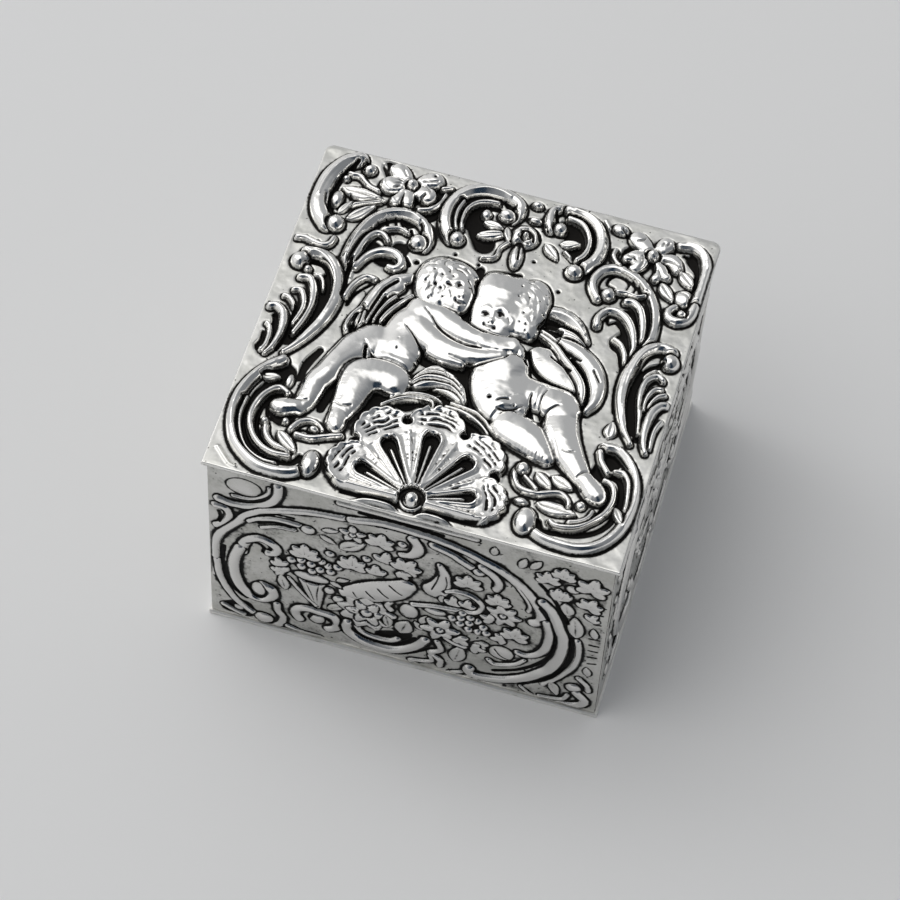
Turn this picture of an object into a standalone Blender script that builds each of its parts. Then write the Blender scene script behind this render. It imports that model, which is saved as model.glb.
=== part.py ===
"""A small square repousse silver box with a hinged lid, built as its separate sheets and hinge parts.

The box stands on its base plate: origin at the middle of the underside, +Z up, front facing -Y.
The lid turns about a concealed tube hinge inside the top of the back wall.
"""

import bmesh
import bpy
import numpy as np
from math import cos, hypot, pi, radians, sin
from mathutils import Matrix, Vector
from mathutils.geometry import delaunay_2d_cdt

MM = 0.001

# Lid
LID_WIDTH = 50.0 * MM
LID_DEPTH = 49.0 * MM
LID_OVERHANG = 0.5 * MM
LID_CORNER_RADIUS = 1.2 * MM
COVER_THICKNESS = 0.75 * MM
LINING_THICKNESS = 0.2 * MM
LINING_INSET = 0.9 * MM
LID_RELIEF = 2.0 * MM
LID_BORDER = 0.4 * MM
LID_REST_GAP = 0.05 * MM

# Inner rim of the lid, which drops into the mouth of the box
RIM_DEPTH = 1.5 * MM
RIM_THICKNESS = 0.4 * MM
RIM_CLEARANCE = 0.3 * MM
RIM_BACK_GAP = 3.0 * MM

# Walls and base
WALL_HEIGHT = 32.6 * MM
WALL_THICKNESS = 0.6 * MM
WALL_RELIEF = 0.5 * MM
WALL_BORDER = 0.8 * MM
BASE_THICKNESS = 0.7 * MM
BASE_OVERHANG = 0.3 * MM

# Hinge
HINGE_LENGTH = 40.0 * MM
HINGE_INSET = 0.4 * MM
KNUCKLE_COUNT = 5
KNUCKLE_RADIUS = 0.9 * MM
KNUCKLE_BORE = 0.52 * MM
KNUCKLE_END_GAP = 0.15 * MM
KNUCKLE_FOOT_WIDTH = 1.0 * MM
PIN_RADIUS = 0.45 * MM
BEARER_HEIGHT = 3.0 * MM
BEARER_THICKNESS = 0.6 * MM
RUNNING_GAP = 0.1 * MM

# Soldered sheets stay this far apart, so that each one is a solid of its own
SOLDER_GAP = 0.05 * MM

# Sections of the raised forms, from flat-topped at 0 to pointed, and the sunk ground at their foot
LID_FULLNESS = 0.6
WALL_FULLNESS = 0.6
MOAT_WIDTH = 0.5 * MM
MOAT_SHARE = 0.65

# Fineness of the raised work
LATTICE = 0.4 * MM
EDGE_SPACING = 2.5 * MM
LID_TOLERANCE = 0.17 * MM
WALL_TOLERANCE = 0.10 * MM
REFINE_ROUNDS = 7
ROUND_SIDES = 24

# Sizes that follow from the ones above
BODY_WIDTH = LID_WIDTH - 2.0 * LID_OVERHANG
BODY_DEPTH = LID_DEPTH - 2.0 * LID_OVERHANG
WALL_BOTTOM = BASE_THICKNESS + SOLDER_GAP
WALL_TOP = WALL_BOTTOM + WALL_HEIGHT
LINING_BOTTOM = WALL_TOP + LID_REST_GAP
COVER_BOTTOM = LINING_BOTTOM + LINING_THICKNESS + SOLDER_GAP
HINGE_Y = BODY_DEPTH / 2.0 - HINGE_INSET
HINGE_Z = LINING_BOTTOM - KNUCKLE_RADIUS - RUNNING_GAP
FOOT_REACH = hypot(KNUCKLE_FOOT_WIDTH / 2.0, LINING_BOTTOM - HINGE_Z)
NOTCH_TOP = HINGE_Z - FOOT_REACH - RUNNING_GAP
KNUCKLE_PITCH = HINGE_LENGTH / KNUCKLE_COUNT

# Places on the lid are shares of its width and depth, from its front left corner.
# Each raised band has half its width as a share of the lid's width, its rise as a share of
# the relief, and the points that it runs through. A band tapers from its middle to its ends.
LID_BAND_SHARES = (
    (0.023, 0.62, ((0.090, 0.974), (0.046, 0.930), (0.030, 0.865), (0.036, 0.800), (0.070, 0.755))),
    (0.009, 0.40, ((0.080, 0.920), (0.105, 0.923), (0.140, 0.897), (0.160, 0.892))),
    (0.008, 0.40, ((0.323, 0.928), (0.320, 0.908), (0.293, 0.872), (0.272, 0.865))),
    (0.018, 0.62, ((0.148, 0.660), (0.148, 0.700), (0.153, 0.740), (0.165, 0.780), (0.185, 0.813),
                   (0.215, 0.836), (0.250, 0.843), (0.285, 0.833), (0.310, 0.810), (0.320, 0.780),
                   (0.315, 0.758))),
    (0.008, 0.45, ((0.200, 0.773), (0.220, 0.786), (0.245, 0.795), (0.267, 0.788))),
    (0.011, 0.50, ((0.163, 0.660), (0.177, 0.740), (0.195, 0.765), (0.215, 0.763), (0.227, 0.750))),
    (0.015, 0.55, ((0.175, 0.650), (0.193, 0.690), (0.218, 0.712), (0.246, 0.718), (0.270, 0.708),
                   (0.278, 0.688), (0.266, 0.672))),
    (0.009, 0.40, ((0.100, 0.718), (0.096, 0.700), (0.055, 0.692), (0.015, 0.695))),
    (0.018, 0.62, ((0.050, 0.658), (0.090, 0.659), (0.120, 0.642), (0.143, 0.607), (0.155, 0.560),
                   (0.155, 0.515), (0.145, 0.465), (0.127, 0.420), (0.105, 0.380), (0.085, 0.353))),
    (0.011, 0.50, ((0.058, 0.580), (0.080, 0.583), (0.095, 0.563), (0.105, 0.490), (0.090, 0.415))),
    (0.009, 0.42, ((0.055, 0.540), (0.070, 0.543), (0.090, 0.500), (0.080, 0.440))),
    (0.008, 0.38, ((0.038, 0.515), (0.050, 0.513), (0.070, 0.485))),
    (0.013, 0.50, ((0.015, 0.475), (0.030, 0.480), (0.050, 0.465), (0.062, 0.400), (0.043, 0.340))),
    (0.009, 0.40, ((0.230, 0.628), (0.210, 0.630), (0.192, 0.610), (0.176, 0.558))),
    (0.016, 0.62, ((0.093, 0.330), (0.063, 0.300), (0.040, 0.260), (0.026, 0.215), (0.024, 0.170),
                   (0.032, 0.125), (0.052, 0.080), (0.082, 0.048), (0.120, 0.025), (0.165, 0.019),
                   (0.205, 0.028), (0.230, 0.050), (0.240, 0.080))),
    (0.010, 0.50, ((0.132, 0.240), (0.110, 0.250), (0.090, 0.235), (0.068, 0.180), (0.078, 0.120),
                   (0.120, 0.075), (0.150, 0.066), (0.185, 0.069))),
    (0.009, 0.40, ((0.110, 0.138), (0.130, 0.100), (0.180, 0.086))),
    (0.009, 0.42, ((0.170, 0.145), (0.178, 0.165), (0.215, 0.182), (0.240, 0.162))),
    (0.009, 0.38, ((0.185, 0.135), (0.220, 0.135), (0.285, 0.163))),
    (0.019, 0.60, ((0.372, 0.805), (0.354, 0.827), (0.341, 0.860), (0.341, 0.900), (0.354, 0.936),
                   (0.378, 0.963), (0.410, 0.977), (0.445, 0.979), (0.480, 0.972), (0.505, 0.956),
                   (0.510, 0.930), (0.498, 0.910))),
    (0.007, 0.40, ((0.387, 0.843), (0.384, 0.905), (0.400, 0.930), (0.453, 0.945))),
    (0.006, 0.35, ((0.507, 0.838), (0.490, 0.810), (0.490, 0.790), (0.458, 0.772))),
    (0.015, 0.58, ((0.596, 0.908), (0.584, 0.945), (0.588, 0.966), (0.605, 0.980))),
    (0.019, 0.62, ((0.625, 0.979), (0.672, 0.970), (0.703, 0.948), (0.722, 0.913), (0.727, 0.875),
                   (0.718, 0.840), (0.698, 0.815), (0.682, 0.800))),
    (0.009, 0.42, ((0.630, 0.955), (0.660, 0.949), (0.693, 0.904), (0.690, 0.851), (0.679, 0.837))),
    (0.015, 0.50, ((0.755, 0.740), (0.738, 0.765), (0.733, 0.790), (0.743, 0.820), (0.765, 0.838),
                   (0.795, 0.840), (0.825, 0.830), (0.855, 0.810), (0.880, 0.780), (0.898, 0.745),
                   (0.908, 0.705), (0.910, 0.665), (0.903, 0.635))),
    (0.007, 0.42, ((0.798, 0.773), (0.820, 0.777), (0.845, 0.773), (0.863, 0.782))),
    (0.012, 0.50, ((0.825, 0.750), (0.840, 0.753), (0.860, 0.740), (0.882, 0.685), (0.883, 0.648))),
    (0.012, 0.52, ((0.775, 0.660), (0.773, 0.685), (0.788, 0.710), (0.815, 0.713), (0.840, 0.698),
                   (0.872, 0.635), (0.873, 0.595))),
    (0.008, 0.40, ((0.825, 0.633), (0.843, 0.623), (0.858, 0.600), (0.865, 0.575))),
    (0.008, 0.40, ((0.762, 0.895), (0.760, 0.878), (0.783, 0.854))),
    (0.016, 0.52, ((0.910, 0.958), (0.943, 0.962), (0.970, 0.944), (0.984, 0.910), (0.988, 0.870),
                   (0.984, 0.795), (0.983, 0.765), (0.953, 0.730), (0.933, 0.736), (0.928, 0.755),
                   (0.940, 0.770))),
    (0.018, 0.62, ((0.968, 0.638), (0.943, 0.644), (0.915, 0.630), (0.897, 0.604), (0.881, 0.540),
                   (0.879, 0.500), (0.884, 0.460), (0.896, 0.420), (0.911, 0.385), (0.935, 0.350))),
    (0.011, 0.50, ((0.965, 0.550), (0.950, 0.558), (0.930, 0.540), (0.924, 0.510), (0.948, 0.385))),
    (0.008, 0.40, ((0.968, 0.523), (0.955, 0.520), (0.940, 0.475), (0.942, 0.455))),
    (0.013, 0.50, ((0.992, 0.483), (0.979, 0.479), (0.966, 0.460), (0.960, 0.395), (0.975, 0.335))),
    (0.015, 0.60, ((0.880, 0.320), (0.915, 0.321), (0.948, 0.293), (0.971, 0.255), (0.982, 0.210),
                   (0.983, 0.165), (0.975, 0.115), (0.958, 0.076), (0.929, 0.044), (0.890, 0.027),
                   (0.845, 0.026), (0.805, 0.032), (0.770, 0.050))),
    (0.008, 0.42, ((0.918, 0.258), (0.940, 0.263), (0.958, 0.243), (0.970, 0.170), (0.962, 0.140))),
    (0.009, 0.48, ((0.905, 0.228), (0.923, 0.223), (0.937, 0.170), (0.908, 0.112), (0.880, 0.085),
                   (0.850, 0.074), (0.813, 0.080))),
    (0.009, 0.42, ((0.705, 0.215), (0.700, 0.185), (0.715, 0.155), (0.740, 0.145), (0.795, 0.158),
                   (0.820, 0.163), (0.843, 0.135))),
    (0.010, 0.38, ((0.875, 0.306), (0.885, 0.280), (0.905, 0.255))),
)

# Bosses: place, half sizes as shares of the lid's width, turn in degrees and rise.
LID_BOSS_SHARES = (
    (0.090, 0.763, 0.024, 0.025, 0, 0.70), (0.123, 0.950, 0.018, 0.018, 0, 0.55),
    (0.130, 0.870, 0.060, 0.017, -5, 0.50), (0.072, 0.840, 0.016, 0.026, 0, 0.45),
    (0.140, 0.815, 0.042, 0.014, 45, 0.45), (0.195, 0.968, 0.030, 0.018, 0, 0.50),
    (0.190, 0.920, 0.032, 0.027, 0, 0.55), (0.223, 0.878, 0.027, 0.026, 0, 0.55),
    (0.280, 0.915, 0.026, 0.029, 0, 0.55), (0.275, 0.969, 0.030, 0.019, 0, 0.50),
    (0.237, 0.932, 0.015, 0.015, 0, 0.80), (0.298, 0.766, 0.024, 0.024, 0, 0.72),
    (0.042, 0.628, 0.024, 0.025, 0, 0.70), (0.240, 0.066, 0.023, 0.038, 0, 0.72),
    (0.170, 0.110, 0.038, 0.015, -40, 0.42), (0.080, 0.278, 0.024, 0.011, 10, 0.35),
    (0.220, 0.160, 0.013, 0.010, 0, 0.42), (0.385, 0.809, 0.020, 0.021, 0, 0.68),
    (0.483, 0.914, 0.023, 0.019, 0, 0.68), (0.433, 0.906, 0.014, 0.016, 0, 0.40),
    (0.458, 0.879, 0.027, 0.011, -8, 0.45), (0.463, 0.849, 0.040, 0.013, 18, 0.50),
    (0.540, 0.868, 0.037, 0.036, 0, 0.60), (0.536, 0.802, 0.017, 0.039, 4, 0.50),
    (0.613, 0.843, 0.030, 0.013, -45, 0.42), (0.652, 0.881, 0.026, 0.012, 12, 0.42),
    (0.545, 0.971, 0.015, 0.012, 0, 0.45), (0.553, 0.923, 0.018, 0.010, 0, 0.40),
    (0.617, 0.915, 0.019, 0.019, 0, 0.62), (0.682, 0.798, 0.023, 0.022, 0, 0.70),
    (0.778, 0.759, 0.020, 0.020, 0, 0.62), (0.813, 0.943, 0.032, 0.032, 0, 0.55),
    (0.873, 0.944, 0.027, 0.030, 0, 0.52), (0.817, 0.873, 0.034, 0.030, 0, 0.55),
    (0.905, 0.900, 0.030, 0.024, 0, 0.50), (0.888, 0.859, 0.020, 0.029, 0, 0.50),
    (0.855, 0.903, 0.016, 0.016, 0, 0.78), (0.950, 0.860, 0.033, 0.016, -45, 0.42),
    (0.956, 0.805, 0.027, 0.026, 0, 0.42), (0.910, 0.810, 0.033, 0.015, -50, 0.42),
    (0.758, 0.962, 0.022, 0.017, -10, 0.42), (0.960, 0.754, 0.013, 0.013, 0, 0.50),
    (0.970, 0.606, 0.023, 0.025, 0, 0.70), (0.883, 0.375, 0.016, 0.024, 0, 0.40),
    (0.758, 0.066, 0.028, 0.039, 0, 0.72), (0.818, 0.120, 0.050, 0.018, -4, 0.42),
    (0.770, 0.188, 0.030, 0.014, -40, 0.40), (0.813, 0.195, 0.032, 0.015, -25, 0.38),
    (0.715, 0.207, 0.017, 0.019, 0, 0.45), (0.735, 0.117, 0.018, 0.011, 0, 0.30),
)

# Drapery folds between the legs, as bands
DRAPERY_SHARES = (
    (0.006, 0.32, ((0.405, 0.362), (0.445, 0.385), (0.500, 0.386), (0.524, 0.354))),
    (0.006, 0.30, ((0.404, 0.344), (0.460, 0.362), (0.516, 0.356), (0.536, 0.334))),
    (0.006, 0.36, ((0.350, 0.275), (0.380, 0.300), (0.440, 0.323), (0.468, 0.306))),
    (0.006, 0.36, ((0.496, 0.317), (0.560, 0.305), (0.612, 0.272))),
)

# The two winged putti, from the back forms to the front ones. Each form is one or more limbs
# whose flesh runs together, and a limb's points carry half its width there.
LEFT_WING_SHARES = (
    (0.60, ((0.315, 0.660, 0.014), (0.280, 0.635, 0.023), (0.253, 0.595, 0.020), (0.238, 0.550, 0.017),
            (0.220, 0.495, 0.015))),
    (0.50, ((0.295, 0.625, 0.015), (0.270, 0.585, 0.017), (0.258, 0.540, 0.015), (0.248, 0.500, 0.013))),
    (0.42, ((0.330, 0.605, 0.008), (0.305, 0.570, 0.008), (0.288, 0.540, 0.008), (0.277, 0.513, 0.008))),
    (0.40, ((0.293, 0.590, 0.007), (0.272, 0.545, 0.007), (0.262, 0.488, 0.007))),
    (0.38, ((0.223, 0.535, 0.007), (0.203, 0.475, 0.007), (0.213, 0.452, 0.007))),
)
RIGHT_WING_SHARES = (
    (0.36, ((0.664, 0.536, 0.024), (0.700, 0.516, 0.042), (0.740, 0.494, 0.036), (0.780, 0.472, 0.020))),
    (0.60, ((0.645, 0.666, 0.017), (0.690, 0.663, 0.021), (0.730, 0.644, 0.018), (0.763, 0.606, 0.010))),
    (0.45, ((0.698, 0.614, 0.015), (0.730, 0.606, 0.016), (0.764, 0.582, 0.010))),
    (0.62, ((0.670, 0.585, 0.011), (0.725, 0.576, 0.024), (0.770, 0.555, 0.029), (0.803, 0.523, 0.024),
            (0.822, 0.482, 0.021), (0.825, 0.440, 0.016), (0.814, 0.408, 0.010))),
)
RIGHT_FEATHER_SHARES = (
    (0.56, ((0.654, 0.590, 0.007), (0.694, 0.568, 0.011), (0.726, 0.537, 0.012), (0.758, 0.507, 0.012),
            (0.783, 0.477, 0.011), (0.794, 0.442, 0.010), (0.790, 0.418, 0.009))),
)
RIGHT_BODY_SHARES = (
    (0.88, ((0.588, 0.505, 0.046), (0.594, 0.474, 0.062), (0.589, 0.436, 0.072), (0.593, 0.400, 0.069),
            (0.607, 0.372, 0.061), (0.628, 0.368, 0.050))),
    (0.84, ((0.654, 0.412, 0.048), (0.704, 0.414, 0.050), (0.748, 0.405, 0.047))),
    (0.90, ((0.754, 0.374, 0.048), (0.774, 0.350, 0.049), (0.784, 0.312, 0.044), (0.804, 0.278, 0.039),
            (0.828, 0.250, 0.032), (0.852, 0.222, 0.026))),
    (0.74, ((0.867, 0.210, 0.026), (0.889, 0.190, 0.030), (0.900, 0.180, 0.024))),
)
RIGHT_LEG_SHARES = (
    (0.90, ((0.653, 0.309, 0.045), (0.695, 0.296, 0.046), (0.731, 0.271, 0.034), (0.761, 0.247, 0.022))),
)
RIGHT_HEAD_SHARES = (
    (0.72, ((0.595, 0.635, 0.060), (0.592, 0.672, 0.061))),
    (0.62, ((0.622, 0.596, 0.028), (0.624, 0.606, 0.028))),
    (0.98, ((0.537, 0.634, 0.062), (0.535, 0.668, 0.062))),
    (0.90, ((0.536, 0.600, 0.050), (0.545, 0.600, 0.050))),
)
LEFT_BODY_SHARES = (
    (0.78, ((0.372, 0.560, 0.046), (0.349, 0.516, 0.053), (0.344, 0.476, 0.054), (0.344, 0.440, 0.055),
            (0.342, 0.420, 0.053))),
    (0.78, ((0.280, 0.455, 0.048), (0.248, 0.425, 0.043), (0.228, 0.392, 0.037), (0.215, 0.362, 0.035),
            (0.202, 0.327, 0.033), (0.186, 0.297, 0.031), (0.181, 0.263, 0.029), (0.169, 0.210, 0.020))),
    (0.60, ((0.156, 0.209, 0.022), (0.132, 0.202, 0.025), (0.119, 0.200, 0.020))),
    (0.78, ((0.356, 0.534, 0.036), (0.390, 0.510, 0.036), (0.426, 0.489, 0.033), (0.470, 0.479, 0.027),
            (0.510, 0.477, 0.025), (0.546, 0.485, 0.023), (0.578, 0.498, 0.019))),
    (0.92, ((0.366, 0.570, 0.040), (0.398, 0.567, 0.039), (0.439, 0.550, 0.037), (0.484, 0.536, 0.035),
            (0.526, 0.534, 0.033), (0.564, 0.539, 0.030), (0.596, 0.542, 0.027))),
    (0.76, ((0.600, 0.538, 0.022), (0.616, 0.528, 0.018), (0.626, 0.514, 0.012))),
)
LEFT_LEG_SHARES = (
    (0.88, ((0.360, 0.354, 0.040), (0.326, 0.359, 0.043), (0.286, 0.344, 0.049), (0.275, 0.302, 0.043),
            (0.272, 0.268, 0.036), (0.268, 0.240, 0.031), (0.265, 0.218, 0.026))),
    (0.62, ((0.260, 0.210, 0.023), (0.263, 0.196, 0.026), (0.266, 0.186, 0.021))),
)
LEFT_HEAD_SHARES = (
    (0.82, ((0.386, 0.666, 0.070), (0.398, 0.670, 0.072))),
    (0.92, ((0.431, 0.634, 0.042), (0.437, 0.650, 0.042))),
)
FIGURE_SHARES = (LEFT_WING_SHARES, RIGHT_WING_SHARES, RIGHT_FEATHER_SHARES, RIGHT_BODY_SHARES,
                 RIGHT_LEG_SHARES, RIGHT_HEAD_SHARES, LEFT_BODY_SHARES, LEFT_LEG_SHARES,
                 LEFT_HEAD_SHARES)

# Hollows in the bare ground between the forms: how deep, as a share of the relief, and a stroke
# whose points carry half its width there
POOL_SHARES = (
    (0.20, ((0.400, 0.315, 0.034), (0.430, 0.360, 0.034), (0.470, 0.390, 0.034), (0.510, 0.390, 0.030))),
    (0.20, ((0.460, 0.315, 0.030), (0.510, 0.330, 0.030), (0.550, 0.310, 0.030), (0.580, 0.285, 0.030))),
    (0.18, ((0.505, 0.430, 0.018), (0.526, 0.384, 0.018), (0.550, 0.336, 0.018))),
    (0.18, ((0.410, 0.440, 0.018), (0.455, 0.435, 0.022), (0.505, 0.435, 0.020))),
    (0.20, ((0.330, 0.280, 0.034), (0.345, 0.250, 0.034), (0.340, 0.230, 0.030))),
    (0.18, ((0.464, 0.740, 0.012), (0.468, 0.690, 0.012), (0.476, 0.635, 0.015), (0.478, 0.590, 0.026))),
    (0.18, ((0.625, 0.575, 0.016), (0.660, 0.570, 0.016), (0.690, 0.550, 0.014))),
)

# Scallop shell at the front of the lid, in polar form about its ball
SHELL_CENTER_SHARE = (0.493, 0.039)
SHELL_BALL_SHARE = 0.020
SHELL_RADIUS_SHARE = 0.270
SHELL_SIDE_RADIUS_SHARE = 0.218
SHELL_FLUTE_STEP = 36.0
SHELL_FLUTE_SHARE = 0.70
SHELL_RISE_SHARE = 0.55
SHELL_BALL_RISE_SHARE = 0.80

# Front wall: places are shares of the wall's width and height, from its bottom left corner.
FRONT_BAND_SHARES = (
    (0.013, 0.70, ((0.182, 0.955), (0.180, 0.890), (0.160, 0.840), (0.125, 0.795), (0.075, 0.775),
                   (0.035, 0.782))),
    (0.011, 0.70, ((0.028, 0.745), (0.052, 0.735), (0.062, 0.700), (0.056, 0.655), (0.032, 0.610))),
    (0.012, 0.80, ((0.095, 0.715), (0.140, 0.775), (0.200, 0.825), (0.280, 0.860), (0.370, 0.890),
                   (0.470, 0.900), (0.560, 0.890), (0.640, 0.860), (0.710, 0.815), (0.760, 0.755),
                   (0.800, 0.680), (0.825, 0.600), (0.828, 0.550), (0.812, 0.525))),
    (0.012, 0.60, ((0.560, 0.848), (0.620, 0.815), (0.665, 0.765), (0.710, 0.790))),
    (0.012, 0.60, ((0.680, 0.795), (0.712, 0.745), (0.724, 0.700), (0.716, 0.655))),
    (0.017, 0.90, ((0.830, 0.670), (0.855, 0.615), (0.878, 0.530), (0.890, 0.440), (0.882, 0.340),
                   (0.864, 0.240), (0.830, 0.165), (0.780, 0.100), (0.725, 0.062), (0.685, 0.060),
                   (0.665, 0.085))),
    (0.009, 0.60, ((0.925, 0.480), (0.931, 0.400), (0.925, 0.310), (0.902, 0.225), (0.865, 0.140))),
    (0.012, 0.70, ((0.850, 0.530), (0.856, 0.450), (0.850, 0.365), (0.830, 0.310), (0.795, 0.290))),
    (0.015, 0.80, ((0.090, 0.500), (0.096, 0.550), (0.118, 0.585), (0.150, 0.585), (0.176, 0.550),
                   (0.168, 0.515))),
    (0.017, 0.90, ((0.080, 0.480), (0.070, 0.400), (0.070, 0.320), (0.084, 0.240), (0.112, 0.190),
                   (0.145, 0.190), (0.168, 0.230), (0.162, 0.280))),
    (0.010, 0.70, ((0.028, 0.560), (0.026, 0.460), (0.028, 0.330), (0.045, 0.205), (0.075, 0.130),
                   (0.115, 0.075), (0.155, 0.055))),
    (0.011, 0.60, ((0.177, 0.175), (0.183, 0.130), (0.190, 0.070), (0.178, 0.030))),
    (0.015, 0.70, ((0.228, 0.125), (0.232, 0.175), (0.265, 0.205), (0.315, 0.195), (0.330, 0.150),
                   (0.310, 0.105))),
    (0.016, 0.90, ((0.358, 0.170), (0.360, 0.130), (0.390, 0.085), (0.440, 0.068), (0.490, 0.080),
                   (0.525, 0.120), (0.545, 0.190))),
    (0.008, 0.60, ((0.385, 0.150), (0.410, 0.125), (0.450, 0.125), (0.485, 0.150))),
    (0.010, 0.70, ((0.600, 0.580), (0.640, 0.595), (0.680, 0.560), (0.682, 0.505), (0.655, 0.480),
                   (0.600, 0.475), (0.545, 0.445))),
    (0.016, 0.70, ((0.510, 0.840), (0.523, 0.800), (0.518, 0.755), (0.490, 0.730))),
    (0.018, 0.60, ((0.330, 0.670), (0.360, 0.700), (0.400, 0.735))),
    (0.014, 0.70, ((0.930, 0.170), (0.950, 0.120), (0.952, 0.070), (0.925, 0.030))),
    (0.008, 0.60, ((0.718, 0.195), (0.740, 0.180), (0.785, 0.215), (0.803, 0.255))),
)
FRONT_BOSS_SHARES = (
    (0.148, 0.240, 0.026, 0.030, 0, 0.90), (0.150, 0.055, 0.026, 0.020, 0, 0.70),
    (0.365, 0.395, 0.034, 0.028, 20, 0.80), (0.430, 0.450, 0.040, 0.036, 35, 0.90),
    (0.480, 0.510, 0.045, 0.038, 50, 1.00), (0.275, 0.330, 0.030, 0.060, 8, 0.60),
    (0.265, 0.420, 0.044, 0.022, 0, 0.70), (0.405, 0.300, 0.060, 0.062, 0, 0.80),
    (0.500, 0.255, 0.026, 0.040, 0, 0.60), (0.510, 0.370, 0.026, 0.038, 0, 0.70),
    (0.590, 0.310, 0.038, 0.045, 0, 0.80), (0.575, 0.415, 0.030, 0.015, 0, 0.60),
    (0.425, 0.590, 0.015, 0.030, 10, 0.70), (0.360, 0.590, 0.014, 0.030, 0, 0.60),
    (0.433, 0.675, 0.020, 0.030, 15, 0.60), (0.480, 0.640, 0.030, 0.042, 0, 0.60),
    (0.430, 0.775, 0.034, 0.032, 0, 0.50), (0.360, 0.775, 0.026, 0.020, 0, 0.50),
    (0.580, 0.590, 0.022, 0.060, 0, 0.80), (0.485, 0.800, 0.015, 0.025, 0, 0.50),
    (0.245, 0.580, 0.034, 0.026, 0, 0.60), (0.260, 0.500, 0.038, 0.030, 0, 0.60),
    (0.650, 0.400, 0.034, 0.036, 0, 0.60), (0.640, 0.670, 0.022, 0.030, 10, 0.60),
    (0.735, 0.600, 0.030, 0.050, 0, 0.60), (0.720, 0.460, 0.036, 0.045, 0, 0.60),
    (0.783, 0.410, 0.020, 0.030, 0, 0.60), (0.745, 0.255, 0.034, 0.034, 0, 0.50),
    (0.640, 0.150, 0.020, 0.045, 0, 0.60), (0.835, 0.825, 0.024, 0.028, 0, 0.70),
    (0.865, 0.745, 0.026, 0.028, 0, 0.70), (0.893, 0.655, 0.016, 0.028, -15, 0.60),
    (0.915, 0.555, 0.018, 0.046, 0, 0.60), (0.870, 0.890, 0.018, 0.034, 0, 0.50),
    (0.900, 0.805, 0.018, 0.018, 0, 0.70), (0.800, 0.900, 0.020, 0.040, -20, 0.50),
    (0.942, 0.775, 0.030, 0.090, 0, 0.50), (0.885, 0.115, 0.018, 0.022, 0, 0.50),
)

# The other walls carry one cartouche each: its left half, which a mirror image completes.
SIDE_BAND_SHARES = (
    (0.017, 0.90, ((0.330, 0.820), (0.230, 0.800), (0.150, 0.720), (0.105, 0.600), (0.095, 0.460),
                   (0.120, 0.320), (0.180, 0.210), (0.250, 0.170), (0.300, 0.200), (0.295, 0.260))),
    (0.012, 0.70, ((0.350, 0.730), (0.270, 0.710), (0.205, 0.640), (0.165, 0.540), (0.165, 0.430),
                   (0.200, 0.340), (0.250, 0.320))),
    (0.014, 0.70, ((0.060, 0.850), (0.120, 0.890), (0.190, 0.870), (0.200, 0.820))),
    (0.014, 0.70, ((0.055, 0.160), (0.100, 0.105), (0.170, 0.100), (0.190, 0.140))),
    (0.015, 0.80, ((0.340, 0.120), (0.400, 0.080), (0.470, 0.100), (0.490, 0.160))),
    (0.012, 0.60, ((0.400, 0.870), (0.450, 0.900), (0.490, 0.870))),
    (0.012, 0.60, ((0.050, 0.700), (0.075, 0.620), (0.060, 0.540))),
    (0.012, 0.60, ((0.045, 0.450), (0.065, 0.360), (0.050, 0.280))),
    (0.013, 0.60, ((0.480, 0.330), (0.420, 0.380), (0.360, 0.370))),
)
SIDE_BOSS_SHARES = (
    (0.330, 0.800, 0.024, 0.024, 0, 0.80), (0.290, 0.255, 0.024, 0.024, 0, 0.80),
    (0.250, 0.330, 0.018, 0.018, 0, 0.70), (0.400, 0.560, 0.040, 0.026, 25, 0.70),
    (0.440, 0.650, 0.036, 0.022, -40, 0.70), (0.430, 0.460, 0.034, 0.022, -20, 0.60),
    (0.340, 0.480, 0.026, 0.018, 30, 0.50), (0.360, 0.640, 0.022, 0.016, 0, 0.50),
)
SIDE_MIDDLE_SHARES = (
    (0.500, 0.550, 0.034, 0.034, 0, 1.00), (0.500, 0.270, 0.022, 0.034, 0, 0.70),
    (0.500, 0.740, 0.022, 0.034, 0, 0.60),
)

SILVER = (0.86, 0.85, 0.83, 1.0)
DULL_SILVER = (0.62, 0.61, 0.60, 1.0)


def clear_scene():
    """Removes whatever the scene holds."""
    for item in list(bpy.data.objects):
        bpy.data.objects.remove(item, do_unlink=True)


def make_material(name, color, roughness):
    """Makes a bare metal material."""
    material = bpy.data.materials.new(name)
    material.use_nodes = True
    shader = material.node_tree.nodes["Principled BSDF"]
    shader.inputs["Base Color"].default_value = color
    shader.inputs["Metallic"].default_value = 1.0
    shader.inputs["Roughness"].default_value = roughness
    return material


def add_object(name, mesh, color, roughness, parent=None):
    """Puts a mesh in the scene with a material of its own, under its parent."""
    item = bpy.data.objects.new(name, mesh)
    bpy.context.collection.objects.link(item)
    mesh.materials.append(make_material(name + "_metal", color, roughness))
    if parent is not None:
        item.parent = parent
        item.matrix_parent_inverse = Matrix.Translation(parent.location).inverted()
    return item


def mesh_from(name, work):
    """Turns a bmesh into a mesh with outward faces, and frees it."""
    bmesh.ops.recalc_face_normals(work, faces=work.faces)
    mesh = bpy.data.meshes.new(name)
    work.to_mesh(mesh)
    work.free()
    return mesh


def smooth_path(points, per_span=6):
    """Points along a smooth curve through the given ones, whatever numbers each one holds."""
    given = np.array(points, float)
    padded = np.vstack([2 * given[0] - given[1], given, 2 * given[-1] - given[-2]])
    steps = np.linspace(0.0, 1.0, per_span, endpoint=False)[:, None]
    spans = []
    for before, start, end, after in zip(padded, padded[1:], padded[2:], padded[3:]):
        bend = 2 * before - 5 * start + 4 * end - after
        twist = -before + 3 * start - 3 * end + after
        spans.append(0.5 * (2 * start + (end - before) * steps + bend * steps**2 + twist * steps**3))
    return np.vstack(spans + [given[-1:]])


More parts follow.
